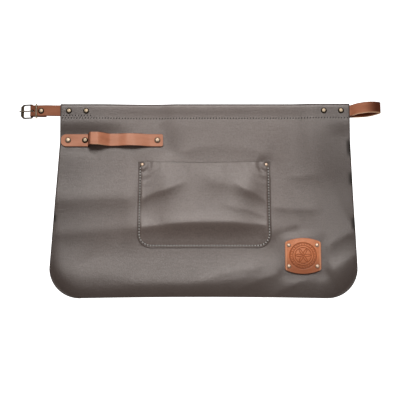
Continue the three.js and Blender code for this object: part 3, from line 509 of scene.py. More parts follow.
class MetalSettings(bpy.types.PropertyGroup):
    """Aged brass of the rivets, the buckle and the keeper"""

    colour: bpy.props.FloatVectorProperty(
        name="Colour", description="Rubbed brass", default=(0.400, 0.310, 0.215), **COLOUR)
    patina: bpy.props.FloatVectorProperty(
        name="Patina", description="Dark bronze in the corners", default=(0.030, 0.020, 0.012), **COLOUR)
    # Bare copper of rubbed caps; on the patch's rivets a painted reflection of the patch's leather
    bare: bpy.props.FloatVectorProperty(
        name="Bare", description="Bare copper of the rubbed caps", default=(0.850, 0.600, 0.440), **COLOUR)
    large_cap: bpy.props.FloatProperty(
        name="Large cap", description="Radius of the large rivet caps", default=0.0064, unit="LENGTH")
    small_cap: bpy.props.FloatProperty(
        name="Small cap", description="Radius of the small rivet caps", default=0.0044, unit="LENGTH")
    wire: bpy.props.FloatProperty(
        name="Wire", description="Radius of the keeper's wire", default=0.001, unit="LENGTH")


class ThreadSettings(bpy.types.PropertyGroup):
    """Seams of the hem and the pocket"""

    pitch: bpy.props.FloatProperty(
        name="Pitch", description="Distance from stitch to stitch", default=0.0060, unit="LENGTH")
    length: bpy.props.FloatProperty(
        name="Length", description="Length of a stitch of the pocket", default=0.0031, unit="LENGTH")
    hem_length: bpy.props.FloatProperty(
        name="Hem length", description="Length of a stitch of the hem", default=0.0036, unit="LENGTH")
    radius: bpy.props.FloatProperty(
        name="Radius", description="Radius of the thread", default=0.0011, unit="LENGTH")
    # Dark thread of the hem, also used as painted shade in the pocket's stitch holes
    dark: bpy.props.FloatVectorProperty(
        name="Dark", description="Thread of the hem", default=(0.010, 0.008, 0.007), **COLOUR)
    pale: bpy.props.FloatVectorProperty(
        name="Pale", description="Thread of the pocket", default=(0.720, 0.690, 0.650), **COLOUR)


class StageSettings(bpy.types.PropertyGroup):
    """Floor, lights and camera"""

    floor: bpy.props.FloatVectorProperty(
        name="Floor", description="Colour of the floor", default=(0.93, 0.93, 0.93), **COLOUR)
    floor_size: bpy.props.FloatProperty(
        name="Floor size", description="Side of the floor", default=12.0, unit="LENGTH")
    floor_glow: bpy.props.FloatProperty(
        name="Floor glow", description="Light that comes up through the floor", default=1.1)
    camera_tilt: bpy.props.FloatProperty(
        name="Camera tilt", description="Lean of the view from straight down towards the bottom edge",
        default=math.radians(16.0), subtype="ANGLE")
    camera_distance: bpy.props.FloatProperty(
        name="Camera distance", description="Distance from the middle of the apron", default=4.0,
        unit="LENGTH")
    frame_width: bpy.props.FloatProperty(
        name="Frame width", description="Width of floor that the picture shows", default=0.84,
        unit="LENGTH")
    key_power: bpy.props.FloatProperty(
        name="Key power", description="Power of the large light beyond the hem", default=144.0, unit="POWER")
    fill_power: bpy.props.FloatProperty(
        name="Fill power", description="Power of the light above the camera", default=56.0, unit="POWER")
    ambient: bpy.props.FloatProperty(
        name="Ambient", description="Strength of the white surroundings", default=0.18)


# Number helpers

def smoothstep(value, low, high):
    """3 t^2 - 2 t^3 of the share t of the way from low to high, held at both ends."""
    share = np.clip((value - low) / (high - low), 0.0, 1.0)
    return share * share * (3.0 - 2.0 * share)


def fade(value, low, high):
    """A smoothstep turned over: 1 up to low, 0 from high."""
    return 1.0 - smoothstep(value, low, high)


def plateau(value, start, full, end, none):
    """A smoothstep from start to full times a fade from end to none."""
    return smoothstep(value, start, full) * fade(value, end, none)


def lerp(low, high, share):
    """Straight mix of two values."""
    return low + (high - low) * share


def eased(position, stations, values):
    """Values at stations, with a smooth step from each station to the next."""
    after = np.clip(np.searchsorted(stations, position, side="right"), 1, len(stations) - 1)
    share = smoothstep(position, stations[after - 1], stations[after])
    return lerp(values[after - 1], values[after], share)


def splined(position, stations, values):
    """Cubic through values at stations whose slopes are harmonic means, so that it never overshoots."""
    pitch = np.diff(values) / np.diff(stations)
    before = np.concatenate(((0.0,), pitch))
    after = np.concatenate((pitch, (0.0,)))
    same = before * after > 0.0
    slopes = np.where(same, 2.0 * before * after / np.where(same, before + after, 1.0), 0.0)
    at = np.clip(position, stations[0], stations[-1])
    k = np.clip(np.searchsorted(stations, at, side="left"), 1, len(stations) - 1)
    span = stations[k] - stations[k - 1]
    s = (at - stations[k - 1]) / span
    start = values[k - 1] * (1 + 2 * s) * (1 - s) ** 2 + slopes[k - 1] * span * s * (1 - s) ** 2
    end = values[k] * (3 - 2 * s) * s ** 2 - slopes[k] * span * (1 - s) * s ** 2
    return start + end


def points_of(*coordinates):
    """Points from their coordinates, each an array or a number that is spread over the others."""
    return np.stack(np.broadcast_arrays(*coordinates), axis=-1)


def unit(vectors):
    """Vectors brought to length 1."""
    return vectors / np.linalg.norm(vectors, axis=-1, keepdims=True)


def full_turn(count):
    """Angles of even steps once round."""
    return np.linspace(0.0, 2.0 * math.pi, count, endpoint=False)


def travel_along(line):
    """Length along a line of points, from 0 at its start."""
    steps = np.linalg.norm(np.diff(line, axis=0), axis=1)
    return np.concatenate(((0.0,), np.cumsum(steps)))


def at_travel(line, travel, wanted):
    """Points of a line at wanted lengths along it."""
    return points_of(*(np.interp(wanted, travel, column) for column in line.T))


def resampled(line, count, gather):
    """Points of a line at count lengths along it, which gather towards both ends by a share."""
    travel = travel_along(line)
    share = np.linspace(0.0, 1.0, count)
    return at_travel(line, travel, lerp(share, smoothstep(share, 0.0, 1.0), gather) * travel[-1])


def arc_line(centre, radius, start, end, count):
    """Points of an arc in X and Z."""
    angle = np.linspace(start, end, count)
    return points_of(centre[0] + radius * np.cos(angle), centre[1] + radius * np.sin(angle))


def step_line(start, end, count):
    """Points of a smooth step in Z between two points in X and Z."""
    share = np.linspace(0.0, 1.0, count)
    return points_of(lerp(start[0], end[0], share), lerp(start[1], end[1], smoothstep(share, 0.0, 1.0)))


def smooth_path(corners, steps):
    """Cubic through corner points whose slope at each is half the step between its neighbours."""
    points = np.array(corners)
    slopes = np.gradient(points, axis=0)
    t = np.linspace(0.0, 1.0, steps, endpoint=False)[None, :, None]
    p, q = points[:-1, None], points[1:, None]
    m, n = slopes[:-1, None], slopes[1:, None]
    curve = (p * (1 + 2 * t) + m * t) * (1 - t) ** 2 + (q * (3 - 2 * t) - n * (1 - t)) * t ** 2
    return np.concatenate((curve.reshape(-1, points.shape[1]), points[-1:]))


def ridge(x, y, fold):
    """Exponential fall to each side of the fold's bowed, rounded crest, times a fade past its ends."""
    length = math.hypot(fold.x1 - fold.x0, fold.y1 - fold.y0)
    along_x = (fold.x1 - fold.x0) / length
    along_y = (fold.y1 - fold.y0) / length
    s = (x - fold.x0) * along_x + (y - fold.y0) * along_y
    share = np.clip(s / length, 0.0, 1.0)
    crest = 4.0 * fold.bow * share * (1.0 - share)
    across = (y - fold.y0) * along_x - (x - fold.x0) * along_y - crest
    past = np.maximum(np.maximum(-s, s - length), 0.0)
    width = np.where(across > 0.0, fold.above, fold.below)
    slope = fold.soft / width - np.hypot(across / width, fold.soft / width)
    return fold.height * np.exp(slope) * fade(past, 0.0, fold.taper)


def ridges(x, y, folds):
    """Sum of the folds' ridges."""
    return sum(ridge(x, y, fold) for fold in folds)


# Mesh helpers: faces are a list of arrays, a row of corner numbers for each face

def grid_quads(rows, columns, wrap_rows=False, wrap_columns=False):
    """Corner numbers of the quads of a grid numbered row by row, joined end to end where it wraps."""
    i = np.arange(rows if wrap_rows else rows - 1)[:, None]
    j = np.arange(columns if wrap_columns else columns - 1)
    below = (i + 1) % rows
    right = (j + 1) % columns
    return points_of(i * columns + j, below * columns + j, below * columns + right, i * columns + right)


def wall_arrays(front, back, shown=None):
    """Two grids of points as the faces of a wall: front quads, back quads turned over, and a rim quad on
    each edge where a shown quad meets none."""
    rows, columns = front.shape[:2]
    quads = grid_quads(rows, columns)
    keep = np.ones((rows - 1, columns - 1), bool) if shown is None else shown
    count = rows * columns
    padded = np.pad(keep, 1)
    faces = [quads[keep], quads[keep][:, ::-1] + count]
    sides = ((0, -1, 0, 1), (1, 0, 1, 2), (0, 1, 2, 3), (-1, 0, 3, 0))
    for step_row, step_column, first, second in sides:
        neighbour = padded[1 + step_row:rows + step_row, 1 + step_column:columns + step_column]
        edge = quads[keep & ~neighbour]
        p, q = edge[:, first], edge[:, second]
        faces.append(points_of(q, p, p + count, q + count))
    return np.concatenate((front.reshape(-1, 3), back.reshape(-1, 3))), faces


def thickened(middle, thickness):
    """Front and back of a grid of points: moved half the thickness each way along its unit normals, which
    are cross products of its differences down and right."""
    down = np.gradient(middle, axis=0)
    right = np.gradient(middle, axis=1)
    offset = unit(np.cross(down, right)) * (thickness / 2.0)
    return middle + offset, middle - offset


def tube_faces(count, sides, closed):
    """Quads between rings of points, in a closed loop or else with a fan at each end about a last point."""
    quads = grid_quads(count, sides, wrap_rows=closed, wrap_columns=True).reshape(-1, 4)
    if closed:
        return [quads]
    around = np.arange(sides)
    beside = (around + 1) % sides
    end = (count - 1) * sides
    first = points_of(count * sides, around, beside)
    last = points_of(count * sides + 1, end + beside, end + around)
    return [quads, first, last]


def tube_arrays(rings, closed):
    """Rings of points, each joined to the next: in a closed loop, or with a middle point at both ends."""
    points = rings.reshape(-1, 3)
    if not closed:
        points = np.concatenate((points, rings[[0, -1]].mean(axis=1)))
    return points, tube_faces(*rings.shape[:2], closed)


def add_piece(name, points, faces, material, tones=None):
    """A mesh object at the origin from arrays of points and faces, smooth, with float tones per point."""
    mesh = bpy.data.meshes.new(name)
    mesh.from_pydata(points.tolist(), [], [face for part in faces for face in part.tolist()])
    mesh.polygons.foreach_set("use_smooth", np.ones(len(mesh.polygons), bool))
    for tone, values in (tones or {}).items():
        layer = mesh.attributes.new(tone, "FLOAT", "POINT")
        layer.data.foreach_set("value", np.asarray(values, np.float32).ravel())
    mesh.materials.append(material)
    mesh.validate()
    mesh.update()
    piece = bpy.data.objects.new(name, mesh)
    bpy.context.scene.collection.objects.link(piece)
    return piece


def add_wall(name, front_and_back, edge_round, material, tones, shown=None):
    """A leather wall between two grids of points, with the same tones on both and rounded cut edges."""
    points, faces = wall_arrays(*front_and_back, shown)
    doubled = {tone: np.tile(values.ravel(), 2) for tone, values in tones.items()}
    piece = add_piece(name, points, faces, material, doubled)
    bevel = piece.modifiers.new("cut_edge", "BEVEL")
    bevel.width = edge_round
    bevel.segments = 2
    bevel.limit_method = "ANGLE"
    bevel.angle_limit = ROUND_ANGLE
    bevel.harden_normals = False
    return piece


def settle(piece, body, slot, *nodes):
    """The piece rides on a body and stands for its nodes. Its slot is not used."""
    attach(piece, body)
    if nodes:
        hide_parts(*nodes)


# Materials

class Finish:
    """A material's node tree with short calls to add and link its nodes."""

    # The mix node's colour sockets share their names with others, so they go by number.
    MIX_FIRST, MIX_SECOND, MIX_RESULT = 6, 7, 2
    CELL_SMOOTHNESS = 0.35

    def __init__(self, name):
        self.material = bpy.data.materials.new(name)
        self.material.use_nodes = True
        self.tree = self.material.node_tree
        self.coordinates = self.node("ShaderNodeTexCoord", {}).outputs["Object"]

    def put(self, node, sockets):
        """Each socket that is named gets a value, or a link from another node's output."""
        for name, value in sockets.items():
            if isinstance(value, bpy.types.NodeSocket):
                self.tree.links.new(value, node.inputs[name])
            else:
                node.inputs[name].default_value = value
        return node

    def node(self, kind, sockets, **properties):
        """A new node with its properties and sockets set."""
        made = self.tree.nodes.new(kind)
        for name, value in properties.items():
            setattr(made, name, value)
        return self.put(made, sockets)

    def noise(self, scale, detail=3.0, roughness=0.55, stretch=(1.0, 1.0, 1.0)):
        """Noise of a scale per metre on object coordinates, which are stretched per axis."""
        place = self.node("ShaderNodeMapping", {"Vector": self.coordinates, "Scale": stretch})
        sockets = {
            "Vector": place.outputs["Vector"], "Scale": scale, "Detail": detail, "Roughness": roughness}
        return self.node("ShaderNodeTexNoise", sockets).outputs["Fac"]

    def cells(self, scale):
        """Distance to the middle of a grain cell, from 0 in its middle."""
        sockets = {"Vector": self.coordinates, "Scale": scale, "Smoothness": self.CELL_SMOOTHNESS}
        return self.node("ShaderNodeTexVoronoi", sockets, feature="SMOOTH_F1").outputs["Distance"]

    def between(self, value, low, high, to_low, to_high):
        """A value's range mapped to another, held at both ends."""
        sockets = {"Value": value, "From Min": low, "From Max": high, "To Min": to_low, "To Max": to_high}
        return self.node("ShaderNodeMapRange", sockets).outputs["Result"]

    def spots(self, low, high, most, **noise):
        """Noise from low to high as a share from 0 to most."""
        return self.between(self.noise(**noise), low, high, 0.0, most)

    def tone(self, name, most=1.0, start=0.0, end=1.0):
        """A tone of the piece from start to end as a share from 0 to most."""
        tone = self.node("ShaderNodeAttribute", {}, attribute_name=name)
        return self.between(tone.outputs["Fac"], start, end, 0.0, most)

    def mixed(self, factor, first, second):
        """Mix of two colours, each a colour or an output."""
        first, second = (
            colour if isinstance(colour, bpy.types.NodeSocket) else (*colour, 1.0)
            for colour in (first, second))
        sockets = {"Factor": factor, self.MIX_FIRST: first, self.MIX_SECOND: second}
        return self.node("ShaderNodeMix", sockets, data_type="RGBA").outputs[self.MIX_RESULT]

    def bumped(self, height, strength, distance, below=None):
        """A bump of a height, over an earlier bump where there is one."""
        sockets = {"Height": height, "Strength": strength, "Distance": distance}
        if below is not None:
            sockets["Normal"] = below
        return self.node("ShaderNodeBump", sockets).outputs["Normal"]

    def pored(self, strength):
        """Fine grain of a strength with pores over it, as on the cognac leather."""
        grain = self.bumped(self.cells(1250.0), strength, distance=0.0003)
        pores = self.noise(3200.0, detail=2.0)
        return self.bumped(pores, strength=0.16, distance=0.0002, below=grain)

    def shaded(self, sockets):
        """The material, with values and outputs on its shader's own sockets."""
        self.put(self.tree.nodes["Principled BSDF"], sockets)
        return self.material


def lerp_colour(first, second, share):
    """Mix of two colours."""
    return tuple(lerp(a, b, share) for a, b in zip(first, second))


def apron_leather(settings):
    """Grey-brown leather: cloudy mottling, paler crests, painted shade over the outskirts, along the hem's
    fold and in the turned-down notches, dark cut edges that are partly painted shade, pebbled grain.
    """
    finish = Finish("apron_hide")
    cloud = finish.spots(0.35, 0.70, most=0.35, scale=16.0, detail=4.0)
    fleck = finish.spots(0.40, 0.70, most=0.50, scale=300.0)
    edge = finish.tone("edge", most=0.9, start=0.2)
    turned = finish.tone("turned", most=0.85)
    colour = finish.mixed(cloud, settings.colour, lerp_colour(settings.colour, settings.shade, 0.45))
    colour = finish.mixed(fleck, colour, settings.shade)
    colour = finish.mixed(finish.tone("crest", most=0.7), colour, settings.crest)
    # Painted shade over the outskirt, darker towards the panel's edges
    colour = finish.mixed(finish.tone("outskirt_painted_shade", most=0.93, end=1.5), colour, settings.shade)
    # Dark cut edges, partly painted shade, and painted shade along the hem's fold
    colour = finish.mixed(edge, colour, settings.shade)
    # Painted shade, near black, in the turned-down notches
    colour = finish.mixed(turned, colour, settings.turned)
    creases = finish.noise(260.0, roughness=0.6, stretch=(0.25, 1.0, 1.0))
    pores = finish.noise(2600.0, detail=2.0)
    normal = finish.bumped(creases, strength=0.22, distance=0.0006)
    normal = finish.bumped(finish.cells(1.0 / settings.grain), strength=0.35, distance=0.0004, below=normal)
    normal = finish.bumped(pores, strength=0.18, distance=0.0002, below=normal)
    middle = settings.roughness
    rough = finish.between(finish.noise(160.0, detail=4.0), 0.3, 0.7, middle - 0.03, middle + 0.04)
    rough = finish.mixed(edge, rough, (0.85, 0.85, 0.85))
    rough = finish.mixed(turned, rough, WHITE)
    return finish.shaded({
        "Base Color": colour, "Normal": normal, "Roughness": rough,
        "Specular IOR Level": 1.0, "Specular Tint": (1.0, 0.93, 0.89, 1.0),
    })


def strap_leather(name, settings, shine):
    """Cognac leather: streaks along the strap, a darker tone that also carries painted shade, burnished and
    raw edges, fine pores.
    """
    finish = Finish(name)
    streak = finish.spots(
        0.35, 0.72, most=0.75, scale=60.0, detail=4.0, roughness=0.6, stretch=(0.35, 1.6, 1.0))
    fleck = finish.spots(0.45, 0.8, most=0.35, scale=900.0, detail=2.0)
    # Darker tone and painted shade along the strap, which also make it fully rough
    darkening_and_painted_shade = finish.tone("darkening_and_painted_shade")
    colour = finish.mixed(streak, settings.colour, settings.shade)
    colour = finish.mixed(fleck, colour, settings.shade)
    colour = finish.mixed(darkening_and_painted_shade, colour, settings.darkening_and_painted_shade)
    colour = finish.mixed(finish.tone("edge", most=0.9, start=0.25), colour, settings.edge)
    colour = finish.mixed(finish.tone("raw"), colour, settings.raw)
    rough = finish.between(finish.noise(70.0), 0.3, 0.7, 0.36, 0.46)
    return finish.shaded({
        "Base Color": colour, "Normal": finish.pored(0.20), "Roughness": finish.mixed(darkening_and_painted_shade, rough, WHITE),
        "Specular IOR Level": shine, "Specular Tint": (1.0, 0.76, 0.62, 1.0),
    })


def patch_leather(settings):
    """Cognac leather pressed with a rosette: dark in the lines and towards the burnished edge, with painted
    shade down the patch and painted highlights on its side rims.
    """
    finish = Finish("patch_hide")
    cloud = finish.spots(0.35, 0.7, most=0.5, scale=85.0, detail=4.0)
    fleck = finish.spots(0.45, 0.8, most=0.35, scale=900.0, detail=2.0)
    colour = finish.mixed(cloud, settings.colour, lerp_colour(settings.colour, settings.shade, 0.45))
    colour = finish.mixed(fleck, colour, settings.shade)
    colour = finish.mixed(finish.tone("pressed", most=0.7), colour, settings.shade)
    # Burnished edge with painted shade down the patch, then painted highlights on the side rims
    colour = finish.mixed(finish.tone("edge", most=0.9, start=0.1), colour, settings.shade)
    colour = finish.mixed(finish.tone("rim"), colour, settings.rim)
    return finish.shaded({
        "Base Color": colour, "Normal": finish.pored(0.18),
        "Roughness": finish.between(finish.noise(90.0), 0.3, 0.7, 0.30, 0.40),
        "Specular IOR Level": 0.7, "Specular Tint": (1.0, 0.70, 0.52, 1.0),
    })


def aged_brass(settings):
    """Brass with dark spots and dark patina, and bare copper where it is rubbed, which on the patch's rivets
    is a painted reflection of the patch's leather.
    """
    finish = Finish("worn_brass")
    spots = finish.spots(0.42, 0.75, most=0.55, scale=650.0, detail=4.0)
    colour = finish.mixed(spots, settings.colour, lerp_colour(settings.colour, settings.patina, 0.7))
    colour = finish.mixed(finish.tone("patina", most=0.95), colour, settings.patina)
    colour = finish.mixed(finish.tone("bare", most=0.8), colour, settings.bare)
    return finish.shaded({
        "Base Color": colour, "Normal": finish.bumped(finish.noise(1500.0), strength=0.25, distance=0.0002),
        "Roughness": finish.between(finish.noise(480.0), 0.3, 0.7, 0.36, 0.52), "Metallic": 1.0,
    })


def thread(name, colour):
    """Waxed thread with a fine twist."""
    finish = Finish(name)
    fibre = finish.noise(2400.0, detail=2.0, roughness=0.5, stretch=(0.4, 1.0, 1.0))
    shade = finish.between(fibre, 0.35, 0.7, 0.0, 0.5)
    return finish.shaded({
        "Base Color": finish.mixed(shade, colour, lerp_colour(colour, BLACK, 0.4)),
        "Normal": finish.bumped(fibre, strength=0.3, distance=0.0002),
        "Roughness": finish.between(fibre, 0.3, 0.7, 0.75, 0.9), "Specular IOR Level": 0.15,
    })


def pale_floor(settings):
    """Near white, faintly clouded and lit from below."""
    finish = Finish("pale_floor")
    cloud = finish.spots(0.3, 0.7, most=1.0, scale=3.0)
    return finish.shaded({
        "Base Color": finish.mixed(cloud, settings.floor, lerp_colour(settings.floor, WHITE, 0.3)),
        "Roughness": 0.9, "Specular IOR Level": 0.1,
        "Emission Color": (*WHITE, 1.0), "Emission Strength": settings.floor_glow,
    })


# Panel

def side_share(y):
    """Share of the sides' flare at a height: none at the hem, all at the corners."""
    return np.clip((FLARE_START_Y - y) / (FLARE_START_Y - BOTTOM_Y - CORNER_RADIUS), 0.0, 1.0)


def side_left(y):
    """X of the panel's left side."""
    return HEM_LEFT - FLARE_LEFT * side_share(y)


def side_right(y):
    """X of the panel's right side."""
    return HEM_RIGHT + FLARE_RIGHT * side_share(y)


def inset_from_edge(x, y, corner):
    """Distance inwards from the sides, the bottom edge and the round corners between them."""
    middle = (side_left(y) + side_right(y)) / 2.0
    half = (side_right(y) - side_left(y)) / 2.0
    out_x = np.abs(x - middle) - (half - corner)
    out_y = BOTTOM_Y + corner - y
    round_part = np.hypot(np.maximum(out_x, 0.0), np.maximum(out_y, 0.0))
    return corner - round_part - np.minimum(np.maximum(out_x, out_y), 0.0)


def roll_height(x, y):
    """Crest along a line inset from the edge: a bell inside it that turns to an exponential fall in the
    middle, a power curve out to the edge, lower up the sides and beside the patch."""
    crest = ROLL_INSET + ROLL_CLIMB * smoothstep(x, *ROLL_CLIMB_X)
    inside = inset_from_edge(x, y, ROLL_CORNER) - crest
    sharp = plateau(x, *ROLL_SHARP_X)
    outside = np.clip(-inside / (crest + ROLL_FOOT), 0.0, 1.0)
    outer = 1.0 - outside ** lerp(ROLL_POWER, ROLL_SHARP_POWER, sharp)
    far = np.maximum(inside, 0.0) / ROLL_INNER
    soft = ROLL_SOFT / ROLL_INNER
    inner = lerp(np.exp(-far ** 2), np.exp(soft - np.hypot(far, soft)), sharp)
    share = lerp(1.0, ROLL_SIDES, smoothstep(y, *ROLL_SIDES_RISE)) * fade(y, *ROLL_SIDES_END)
    dip = 1.0 - ROLL_DIP * np.exp(-((x - PATCH_CENTRE[0]) / ROLL_DIP_REACH) ** 2)
    return ROLL_HEIGHT * lerp(1.0, ROLL_SHARP_GAIN, sharp) * share * dip * np.minimum(outer, inner)


def slack_lift(x, y):
    """Folds and roll of the slack leather, levelled on each flat seat."""
    lift = ridges(x, y, FOLDS) + roll_height(x, y)
    for seat in FLAT_SEATS:
        out_x = np.maximum(np.abs(x - seat.x) - seat.half_x, 0.0)
        out_y = np.maximum(np.abs(y - seat.y) - seat.half_y, 0.0)
        lift = lerp(seat.lift, lift, smoothstep(np.hypot(out_x, out_y), 0.0, seat.margin))
    return lift


def hem_front_underside(x, thickness):
    """Underside of the hem's front layer: back layer, then the gap that takes the straps."""
    return eased(x, HEM_X, HEM_BASE) + thickness + eased(x, HEM_X, HEM_GAP)


def hem_swell(x, y):
    """Swell of the hem's front layer: up from the fold to a crest, down to the seam, low at the straps."""
    down = (TOP_Y - y) / (TOP_Y - HEM_STITCH_Y)
    bump = plateau(down, 0.0, HEM_SWELL_CREST, HEM_SWELL_CREST, 1.0)
    slack = plateau(x, HEM_X[0], HEM_X[1], HEM_X[-2], HEM_X[-1])
    return HEM_SWELL * bump * lerp(HEM_SWELL_ENDS, 1.0, slack)


def panel_underside(x, y, thickness):
    """Slack leather that comes down to the floor at its edges and up to the hem's front layer."""
    inset = inset_from_edge(x, y, CORNER_RADIUS)
    drop = fade(inset, 0.0, EDGE_EASE) * fade(y, *EDGE_FADE_Y)
    slack = SEAT_Z * (1.0 - drop) + slack_lift(x, y)
    reach = lerp(HEM_DROP, HEM_LONG_DROP, smoothstep(x, *HEM_LONG_X))
    reach = lerp(reach, HEM_RIGHT_DROP, smoothstep(x, *HEM_RIGHT_X))
    below = TOP_Y - HEM_DEPTH - y
    short = HEM_SHORT_SHARE * smoothstep(x, *HEM_SHORT_X)
    hem = 1.0 - lerp(smoothstep(below, 0.0, reach), smoothstep(below, 0.0, HEM_DROP), short)
    return lerp(slack, hem_front_underside(x, thickness), hem)


def panel_middle(thickness):
    """Grid of the panel's mid-thickness: rows from the hem's back edge, round the half circle of its fold,
    down the front and round the quarter circles of the bottom corners."""
    columns = np.linspace(0.0, 1.0, PANEL_COLUMNS)
    half = thickness / 2.0
    x = lerp(HEM_LEFT, HEM_RIGHT, columns)
    base = eased(x, HEM_X, HEM_BASE) + half
    radius = (thickness + eased(x, HEM_X, HEM_GAP)) / 2.0
    hem_end = TOP_Y - HEM_DEPTH
    fold_y = TOP_Y - half - radius
    share = np.linspace(0.0, 1.0, HEM_BACK_ROWS, endpoint=False)[:, None]
    back = points_of(x, lerp(hem_end, fold_y, share), base)
    angle = np.linspace(-math.pi / 2.0, math.pi / 2.0, HEM_FOLD_ROWS)[:, None]
    fold = points_of(x, fold_y + radius * np.cos(angle), base + radius * (1.0 + np.sin(angle)))
    y = lerp(fold_y, hem_end, np.linspace(0.0, 1.0, HEM_FRONT_ROWS + 1)[1:, None])
    front = points_of(x, y, hem_front_underside(x, thickness) + half + hem_swell(x, y))
    corner_top = BOTTOM_Y + CORNER_RADIUS
    y = lerp(hem_end, corner_top, np.linspace(0.0, 1.0, PANEL_ROWS + 1)[1:, None])
    x = lerp(side_left(y), side_right(y), columns)
    body = points_of(x, y, panel_underside(x, y, thickness) + half)
    # The last row but one would lie almost on the last, so it is left out.
    turn = np.delete(np.linspace(0.0, math.pi / 2.0, PANEL_CORNER_ROWS + 1), (0, -2))[:, None]
    inset = CORNER_RADIUS * (1.0 - np.cos(turn))
    x = lerp(side_left(corner_top) + inset, side_right(corner_top) - inset, columns)
    bow = BOTTOM_BOW * (1.0 - (2.0 * columns - 1.0) ** 2) * (2.0 * turn / math.pi) ** 2
    y = corner_top - CORNER_RADIUS * np.sin(turn) + bow
    low = points_of(x, y, panel_underside(x, y, thickness) + half)
    return np.concatenate((back, fold, front, body, low))


def crest_tone(middle):
    """How far each point of a grid stands above the mean of four neighbours, from 0 to 1."""
    z = middle[..., 2]
    steps = ((CREST_STEPS, 0), (-CREST_STEPS, 0), (CREST_STEPS, 1), (-CREST_STEPS, 1))
    around = sum(np.roll(z, step, axis) for step, axis in steps) / len(steps)
    return np.clip((z - around) / CREST_RISE, 0.0, 1.0)


def border_tone(shape, width):
    """1 along a grid's border, fading to 0 within a number of rows or columns."""
    i = np.arange(shape[0])[:, None]
    j = np.arange(shape[1])
    near = np.minimum(np.minimum(i, shape[0] - 1 - i), np.minimum(j, shape[1] - 1 - j))
    return np.clip(1.0 - near / width, 0.0, 1.0)


def painted_notch_shade(x, y):
    """Painted shade, 1 at the side's edge in each notch: a flat-topped bell along the side that fades
    inwards.
    """
    tone = np.zeros_like(x)
    for notch in PAINTED_SHADE_NOTCHES:
        inset = side_right(y) - x if notch.side > 0 else x - side_left(y)
        along = np.exp(-((y - notch.y) / notch.half) ** 4)
        tone = np.maximum(tone, along * fade(inset, PAINTED_SHADE_NOTCH_FULL * notch.depth, notch.depth))
    return tone


def panel_tones(middle):
    """Tones by the distance from the edge and the height above the neighbours: painted shade over the
    outskirt, along the hem's top and in the notches, and dark cut edges that are partly painted shade.
    """
    x, y = middle[..., 0], middle[..., 1]
    inset = inset_from_edge(x, y, CORNER_RADIUS)
    # Painted shade over the outskirt, stronger towards both sides
    left = OUTSKIRT_PAINTED_SHADE_LEFT * smoothstep(-x, *OUTSKIRT_PAINTED_SHADE_SIDE)
    right = OUTSKIRT_PAINTED_SHADE_RIGHT * smoothstep(x, *OUTSKIRT_PAINTED_SHADE_SIDE)
    # Painted shade along the hem's fold, and dark cut edges that are partly painted shade
    rim = np.maximum(smoothstep(y, *HEM_FOLD_PAINTED_SHADE_Y), CUT_EDGE_AND_PAINTED_SHADE * fade(inset, *CUT_EDGE_AND_PAINTED_SHADE_INSET))
    return {
        "outskirt_painted_shade": fade(inset, 0.0, OUTSKIRT_PAINTED_SHADE_REACH) * (1.0 + right + left),
        "crest": crest_tone(middle),
        "turned": painted_notch_shade(x, y),
        "edge": np.maximum(border_tone(x.shape, 1.0), rim),
    }


class APRON_OT_panel(bpy.types.Operator):
    """Make the apron panel with its hem and folds"""

    bl_idname = "apron.panel"
    bl_label = "Panel"

    def execute(self, context):
        settings = context.scene.apron_leather
        middle = panel_middle(settings.thickness)
        sides = thickened(middle, settings.thickness)
        piece = add_wall("panel_leather", sides, THIN_ROUND, apron_leather(settings), panel_tones(middle))
        settle(piece, "apron", "apron_leather", "apron_panel")
        return {"FINISHED"}


# Pocket

def pocket_half(y):
    """Half width of the pocket at a height."""
    return lerp(POCKET_HALF_TOP, POCKET_HALF_BOTTOM, (POCKET_TOP - y) / POCKET_HEIGHT)


def pocket_rise(x, y):
    """Belly down the pocket, arched in its middle, its folds and the ripples round its rivets, all brought
    down to the flat seam."""
    across = (x - POCKET_X) / POCKET_HALF_BOTTOM
    down = (POCKET_TOP - y) / POCKET_HEIGHT
    arch = BELLY_ARCH * (BELLY_LEVEL - across ** 2) * 4.0 * down * (1.0 - down) / POCKET_HEIGHT
    inset = pocket_half(y) - np.abs(x - POCKET_X)
    side = smoothstep(inset, POCKET_SEAM, POCKET_SEAM + POCKET_SIDE_RISE)
    sewn = smoothstep(inset, 0.0, POCKET_SEWN) * smoothstep(y - POCKET_BOTTOM, 0.0, 2.0 * POCKET_SEAM)
    rise = side * splined(down + arch, BELLY_DOWN, BELLY_RISE) + sewn * ridges(x, y, POCKET_FOLDS)
    for rivet_x, rivet_y in POCKET_RIVETS:
        away = np.hypot(x - rivet_x, y - rivet_y)
        ripple = (1.0 - np.cos(2.0 * math.pi * away / PUCKER_WIDTH)) * np.exp(-away / PUCKER_REACH)
        rise = rise + sewn * PUCKER * ripple
    return rise


def pocket_underside(x, y, thickness):
    """Underside of the pocket: the panel's front, a small gap and the belly."""
    return panel_underside(x, y, thickness) + thickness + GAP + pocket_rise(x, y)


def pocket_middle(thickness):
    """Grid of the pocket's mid-thickness: rows from the dipped mouth down and round the quarter circles of
    the bottom corners."""
    across = np.linspace(-1.0, 1.0, POCKET_COLUMNS)
    corner_top = POCKET_BOTTOM + POCKET_CORNER
    share = np.linspace(0.0, 1.0, POCKET_ROWS)[:, None]
    row = lerp(POCKET_TOP, corner_top, share)
    dip = MOUTH_DIP * (1.0 - share) ** 4 * (1.0 - across ** 2) ** 2
    turn = np.linspace(0.0, math.pi / 2.0, POCKET_CORNER_ROWS + 1)[1:, None]
    half = pocket_half(corner_top) - POCKET_CORNER * (1.0 - np.cos(turn))
    plan = np.concatenate((
        points_of(POCKET_X + pocket_half(row) * across, row - dip),
        points_of(POCKET_X + half * across, corner_top - POCKET_CORNER * np.sin(turn)),
    ))
    x, y = plan[..., 0], plan[..., 1]
    return points_of(x, y, pocket_underside(x, y, thickness) + thickness / 2.0)


